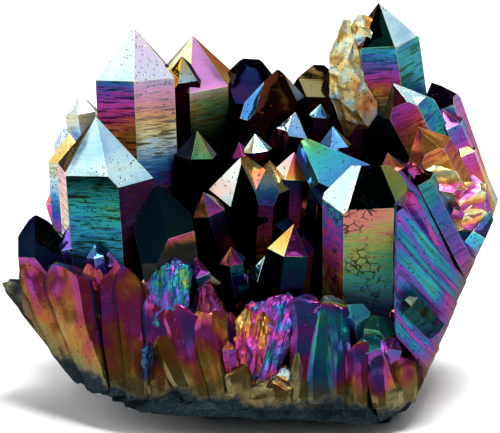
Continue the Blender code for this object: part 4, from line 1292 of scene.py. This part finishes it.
class GrowFlankCrystals(bpy.types.Operator):
    """Grow the leaf-like crystals on the front and the slanting ones on the right"""

    bl_idname = "quartz.flank_crystals"
    bl_label = "Flank crystals"

    def execute(self, context):
        """Build the leaves, the rough masses, and the short crystals among them."""
        sizes = chosen("quartz_sizes")
        rng = random.Random(7)
        leaves = Surface()
        for leaf in (*LEAVES, *foot_leaves(rng)):
            add_leaf(leaves, leaf, rng)
        make_piece("leaves", leaves, soft(sizes), crease=13)
        lumps = Surface()
        for leaf in LUMPS:
            add_leaf(lumps, leaf, rng, 0.55, 60, 8)
        make_piece("lumps", lumps, rugged(sizes), crease=24)
        grow_crystals("flank_crystals", FLANK, BEHIND, SMALL_GRID, rng, 0.1)
        return {"FINISHED"}


class GrowHollowCrystals(bpy.types.Operator):
    """Grow the middle-sized and small crystals between the large ones"""

    bl_idname = "quartz.hollow_crystals"
    bl_label = "Hollow and druse crystals"

    def execute(self, context):
        """Build the hollow's crystals and its druse."""
        rng = random.Random(19)
        grow_crystals("hollow_crystals", HOLLOW, HOLLOW_SHADE, SMALL_GRID, rng)
        druse = Surface()
        for spec in DRUSE:
            add_crystal(druse, spec, HOLLOW_SHADE, 1, rng, 0.05)
        make_piece("druse", druse)
        return {"FINISHED"}


class GrowBackCrystals(bpy.types.Operator):
    """Grow the crystals on the back and round the sides"""

    bl_idname = "quartz.back_crystals"
    bl_label = "Back and outer crystals"

    def execute(self, context):
        """Build the back crystals and the ring of outer crystals."""
        sizes = chosen("quartz_sizes")
        rng = random.Random(23)
        grow_crystals("back_crystals", BACK, BEHIND, SMALL_GRID, rng)
        outer = Surface()
        for spec in OUTER:
            add_crystal(outer, spec, ROUGH, 3, rng, 0.12)
        make_piece("outer_crystals", outer, chipped(sizes), sizes.edge_wear)
        return {"FINISHED"}


def chip_planes(middle, radii, rng):
    """Faces of a broken lump: random planes and 26 even ones, a little further out, stretched to its radii.

    A plane at a distance from a ball's middle, with its outward direction over the radii and both divided
    by that direction's new length, is the same plane on the ellipsoid.
    """
    middle, radii = np.array(middle, float), np.array(radii, float)
    chips = []
    for _ in range(BREAKS):
        way = np.array((rng.gauss(0, 1), rng.gauss(0, 1), rng.gauss(0, 1)))
        chips.append((way / np.linalg.norm(way), rng.uniform(*CHIP_DEPTH)))
    for way in itertools.product((-1, 0, 1), repeat=3):
        if any(way):
            chips.append((np.array(way) / np.linalg.norm(way), 1.18))
    faces = []
    for number, (way, depth) in enumerate(chips):
        outward = way / radii
        size = np.linalg.norm(outward)
        faces.append(("break", number, outward / size, (depth + outward @ middle) / size))
    return faces


def break_paint(middle, spread, lines, rough):
    """Film of a broken lump: a value that rises and falls from face to face and down each face."""

    def paint(kind, number, points, along):
        """Film, strength of the growth lines and crust of each point of a face."""
        film = middle + spread * np.sin(number * 2.7 + 1.2 * along)
        return np.stack([film, np.full(len(points), lines), np.full(len(points), rough)], 1)

    return paint


class GrowBrokenLumps(bpy.types.Operator):
    """Grow the fractured lumps on the right and the slab beside the tallest crystal"""

    bl_idname = "quartz.broken_lumps"
    bl_label = "Broken lumps"

    def execute(self, context):
        """Chip each lump: the fracture is pink and yellow, the slab gold and silver."""
        sizes = chosen("quartz_sizes")
        upward = np.array((0.0, 0.0, 1.0))
        surface = Surface()
        for coat, lumps in ((FRACTURE, FRACTURE_LUMPS), (SLAB, SLAB_LUMPS)):
            for middle, radii in lumps:
                faces = chip_planes(middle, radii, GROWTH) + TRIM
                # painted highlight: the broken faces are paled a little towards white
                add_body(surface, faces, SMALL_GRID, break_paint(*coat), upward, np.array(middle, float),
                         {"break": 1.03}, {"break": 0.7})
        make_piece("broken_lumps", surface, chipped(sizes), sizes.edge_wear)
        return {"FINISHED"}


def matrix_reach(way, middle):
    """Distance from the middle to the matrix's surface along each direction.

    It is the ellipsoid's own distance less its lumps, or the distance to the nearest plane of the
    underside less the grain of the stone there, if that is closer. A plane's distance along a direction is
    its distance from the middle over the cosine between the two directions.
    """
    # where middle + far * way meets the ellipsoid, from the quadratic a far^2 + 2 b far + c = 0
    u, m = way / MATRIX_RADII, middle / MATRIX_RADII
    a, b, c = (u * u).sum(-1), (u * m).sum(-1), (m * m).sum() - 1
    far = (-b + np.sqrt(b * b - a * c)) / a
    far = far - 0.9 - 0.8 * ripple((way * far[..., None]).reshape(-1, 3), 7.0, 31).reshape(far.shape)
    for _, _, outward, reach in TRIM:
        facing = way @ outward
        limit = np.where(facing > 1e-3, (reach - outward @ middle) / np.maximum(facing, 1e-3), FAR)
        if outward[2] > -0.99:
            place = (way * limit[..., None].clip(0, 60)).reshape(-1, 3)
            limit = limit - 0.7 - 0.7 * ripple(place * (1, 1, 0.5), 3.6, 33).reshape(limit.shape)
        far = np.minimum(far, limit)
    return far


def turned_quads(rows, columns):
    """Quads of a grid whose rows are closed rings."""
    index = np.arange(rows * columns).reshape(rows, columns)
    after = np.roll(index, -1, 1)
    return np.stack([index[:-1], index[1:], after[1:], after[:-1]], -1).reshape(-1, 4)


class GrowMatrix(bpy.types.Operator):
    """Build the stone that the crystals grow on"""

    bl_idname = "quartz.matrix"
    bl_label = "Matrix"

    def execute(self, context):
        """Lumpy ellipsoid cut by the underside, on a grid of polar angle and turn about its middle."""
        rows, columns = 120, 420
        polar = np.linspace(0, math.pi, rows)
        turn = np.linspace(0, 2 * math.pi, columns, endpoint=False)
        polar, turn = np.meshgrid(polar, turn, indexing="ij")
        way = np.stack([np.sin(polar) * np.cos(turn), np.sin(polar) * np.sin(turn), np.cos(polar)], -1)
        middle = np.array((0.0, 0.0, 6.0))
        points = (middle + way * matrix_reach(way, middle)[..., None]).reshape(-1, 3)
        growth = np.stack([points[:, 2], points[:, 0], np.zeros(len(points))], 1)
        film = 0.44 + 0.10 * ripple(points, 9.0, 41)
        coat = np.stack([film, np.full(len(points), 0.1), np.full(len(points), 0.8)], 1)
        surface = Surface()
        edge = np.full(len(points), NO_EDGE)
        # painted shade: the stone between the crystals' feet is darkened to 0.12 of its colour
        surface.add(points, turned_quads(rows, columns), growth, coat, edge, 0.12, 0.6)
        make_piece("matrix", surface)
        return {"FINISHED"}


def studio_floor(colour):
    """Pale round floor that turns up far away: rings at growing radii, the last three raised."""
    radius = np.array((0.0, 0.06, 0.15, 0.4, 0.9, 1.5, 1.9, 2.1, 2.2))
    raised = np.array((0.0, 0.0, 0.0, 0.0, 0.0, 0.0, 0.03, 0.10, 0.22))
    turn = np.linspace(0, 2 * math.pi, 96, endpoint=False)
    rings = np.stack([radius[:, None] * np.cos(turn), radius[:, None] * np.sin(turn),
                      np.broadcast_to(raised[:, None], (len(radius), len(turn)))], -1)
    quads = turned_quads(len(radius), len(turn))
    mesh = bpy.data.meshes.new("floor")
    mesh.from_pydata(rings.reshape(-1, 3).tolist(), [], quads.tolist())
    mesh.polygons.foreach_set("use_smooth", np.ones(len(quads), bool))
    material = bpy.data.materials.new("floor_paint")
    material.use_nodes = True
    shader = material.node_tree.nodes["Principled BSDF"]
    shader.inputs["Base Color"].default_value = (*colour, 1)
    shader.inputs["Roughness"].default_value = 0.9
    shader.inputs["Specular IOR Level"].default_value = 0.1
    mesh.materials.append(material)
    floor = bpy.data.objects.new("floor", mesh)
    bpy.context.scene.collection.objects.link(floor)


def softbox(name, azimuth, elevation, width, height, glow):
    """A rectangular light that faces the cluster. Azimuth 0 is in front, 90 on the right."""
    a, e = math.radians(azimuth), math.radians(elevation)
    toward = Vector((math.sin(a) * math.cos(e), -math.cos(a) * math.cos(e), math.sin(e)))
    light = bpy.data.lights.new(name, "AREA")
    light.shape = "RECTANGLE"
    light.size, light.size_y = width, height
    light.energy = glow * math.pi * width * height
    lamp = bpy.data.objects.new(name, light)
    lamp.location = Vector(LIGHT_AIM) + toward * LIGHT_DISTANCE
    lamp.rotation_mode = "QUATERNION"
    lamp.rotation_quaternion = toward.to_track_quat("Z", "Y")
    lamp.visible_camera = False
    bpy.context.scene.collection.objects.link(lamp)


def studio_camera(studio):
    """Camera in front of the cluster, a little above it."""
    camera = bpy.data.cameras.new("camera")
    camera.lens = studio.lens
    camera.sensor_width = 36
    camera.clip_start, camera.clip_end = 0.01, 10
    eye = bpy.data.objects.new("camera", camera)
    target = Vector(CAMERA_AIM) * MM - Vector(CENTRE) * MM
    toward = Vector((0, -math.cos(studio.elevation), math.sin(studio.elevation)))
    eye.location = target + toward * studio.distance
    eye.rotation_mode = "QUATERNION"
    eye.rotation_quaternion = toward.to_track_quat("Z", "Y")
    bpy.context.scene.collection.objects.link(eye)
    bpy.context.scene.camera = eye


class SetUpStudio(bpy.types.Operator):
    """Set up the floor, the lights and the camera"""

    bl_idname = "quartz.studio"
    bl_label = "Studio"

    def execute(self, context):
        """Pale floor, five softboxes, a small top light, a dim room and the camera."""
        studio = chosen("quartz_studio")
        studio_floor(studio.floor_colour)
        for name, azimuth, elevation, width, height, glow in LIGHTS:
            softbox(name, azimuth, elevation, width, height, getattr(studio, glow))
        world = bpy.data.worlds.new("room")
        world.use_nodes = True
        world.node_tree.nodes["Background"].inputs[0].default_value = ROOM_COLOUR
        context.scene.world = world
        studio_camera(studio)
        context.scene.view_settings.view_transform = "Standard"
        return {"FINISHED"}


class QuartzPanel(bpy.types.Panel):
    """Buttons and settings of the cluster"""

    bl_idname = "VIEW3D_PT_quartz"
    bl_label = "Quartz cluster"
    bl_space_type = "VIEW_3D"
    bl_region_type = "UI"
    bl_category = "Quartz"

    def draw(self, context):
        """List the operators, then the settings of each group."""
        for step in STEPS:
            self.layout.operator(step.bl_idname)
        for group in GROUPS:
            box = self.layout.box()
            for key in GROUPS[group].__annotations__:
                box.prop(getattr(context.scene, group), key)


GROUPS = {"quartz_film": FilmColours, "quartz_sizes": ClusterSizes, "quartz_studio": StudioSettings}
STEPS = (GrowLargeCrystals, GrowFlankCrystals, GrowHollowCrystals, GrowBackCrystals, GrowBrokenLumps,
         GrowMatrix, SetUpStudio)


def register():
    """Register the classes and the settings."""
    for cls in (*GROUPS.values(), *STEPS, QuartzPanel):
        bpy.utils.register_class(cls)
    for group, cls in GROUPS.items():
        setattr(bpy.types.Scene, group, PointerProperty(type=cls))


def unregister():
    """Remove them again."""
    for group in GROUPS:
        delattr(bpy.types.Scene, group)
    for cls in (QuartzPanel, *reversed(STEPS), *GROUPS.values()):
        bpy.utils.unregister_class(cls)


def main():
    """Grow the cluster piece by piece and set up the studio."""
    register()
    bpy.ops.quartz.large_crystals()
    bpy.ops.quartz.flank_crystals()
    bpy.ops.quartz.hollow_crystals()
    bpy.ops.quartz.back_crystals()
    bpy.ops.quartz.broken_lumps()
    bpy.ops.quartz.matrix()
    bpy.ops.quartz.studio()


if __name__ == "__main__":
    main()
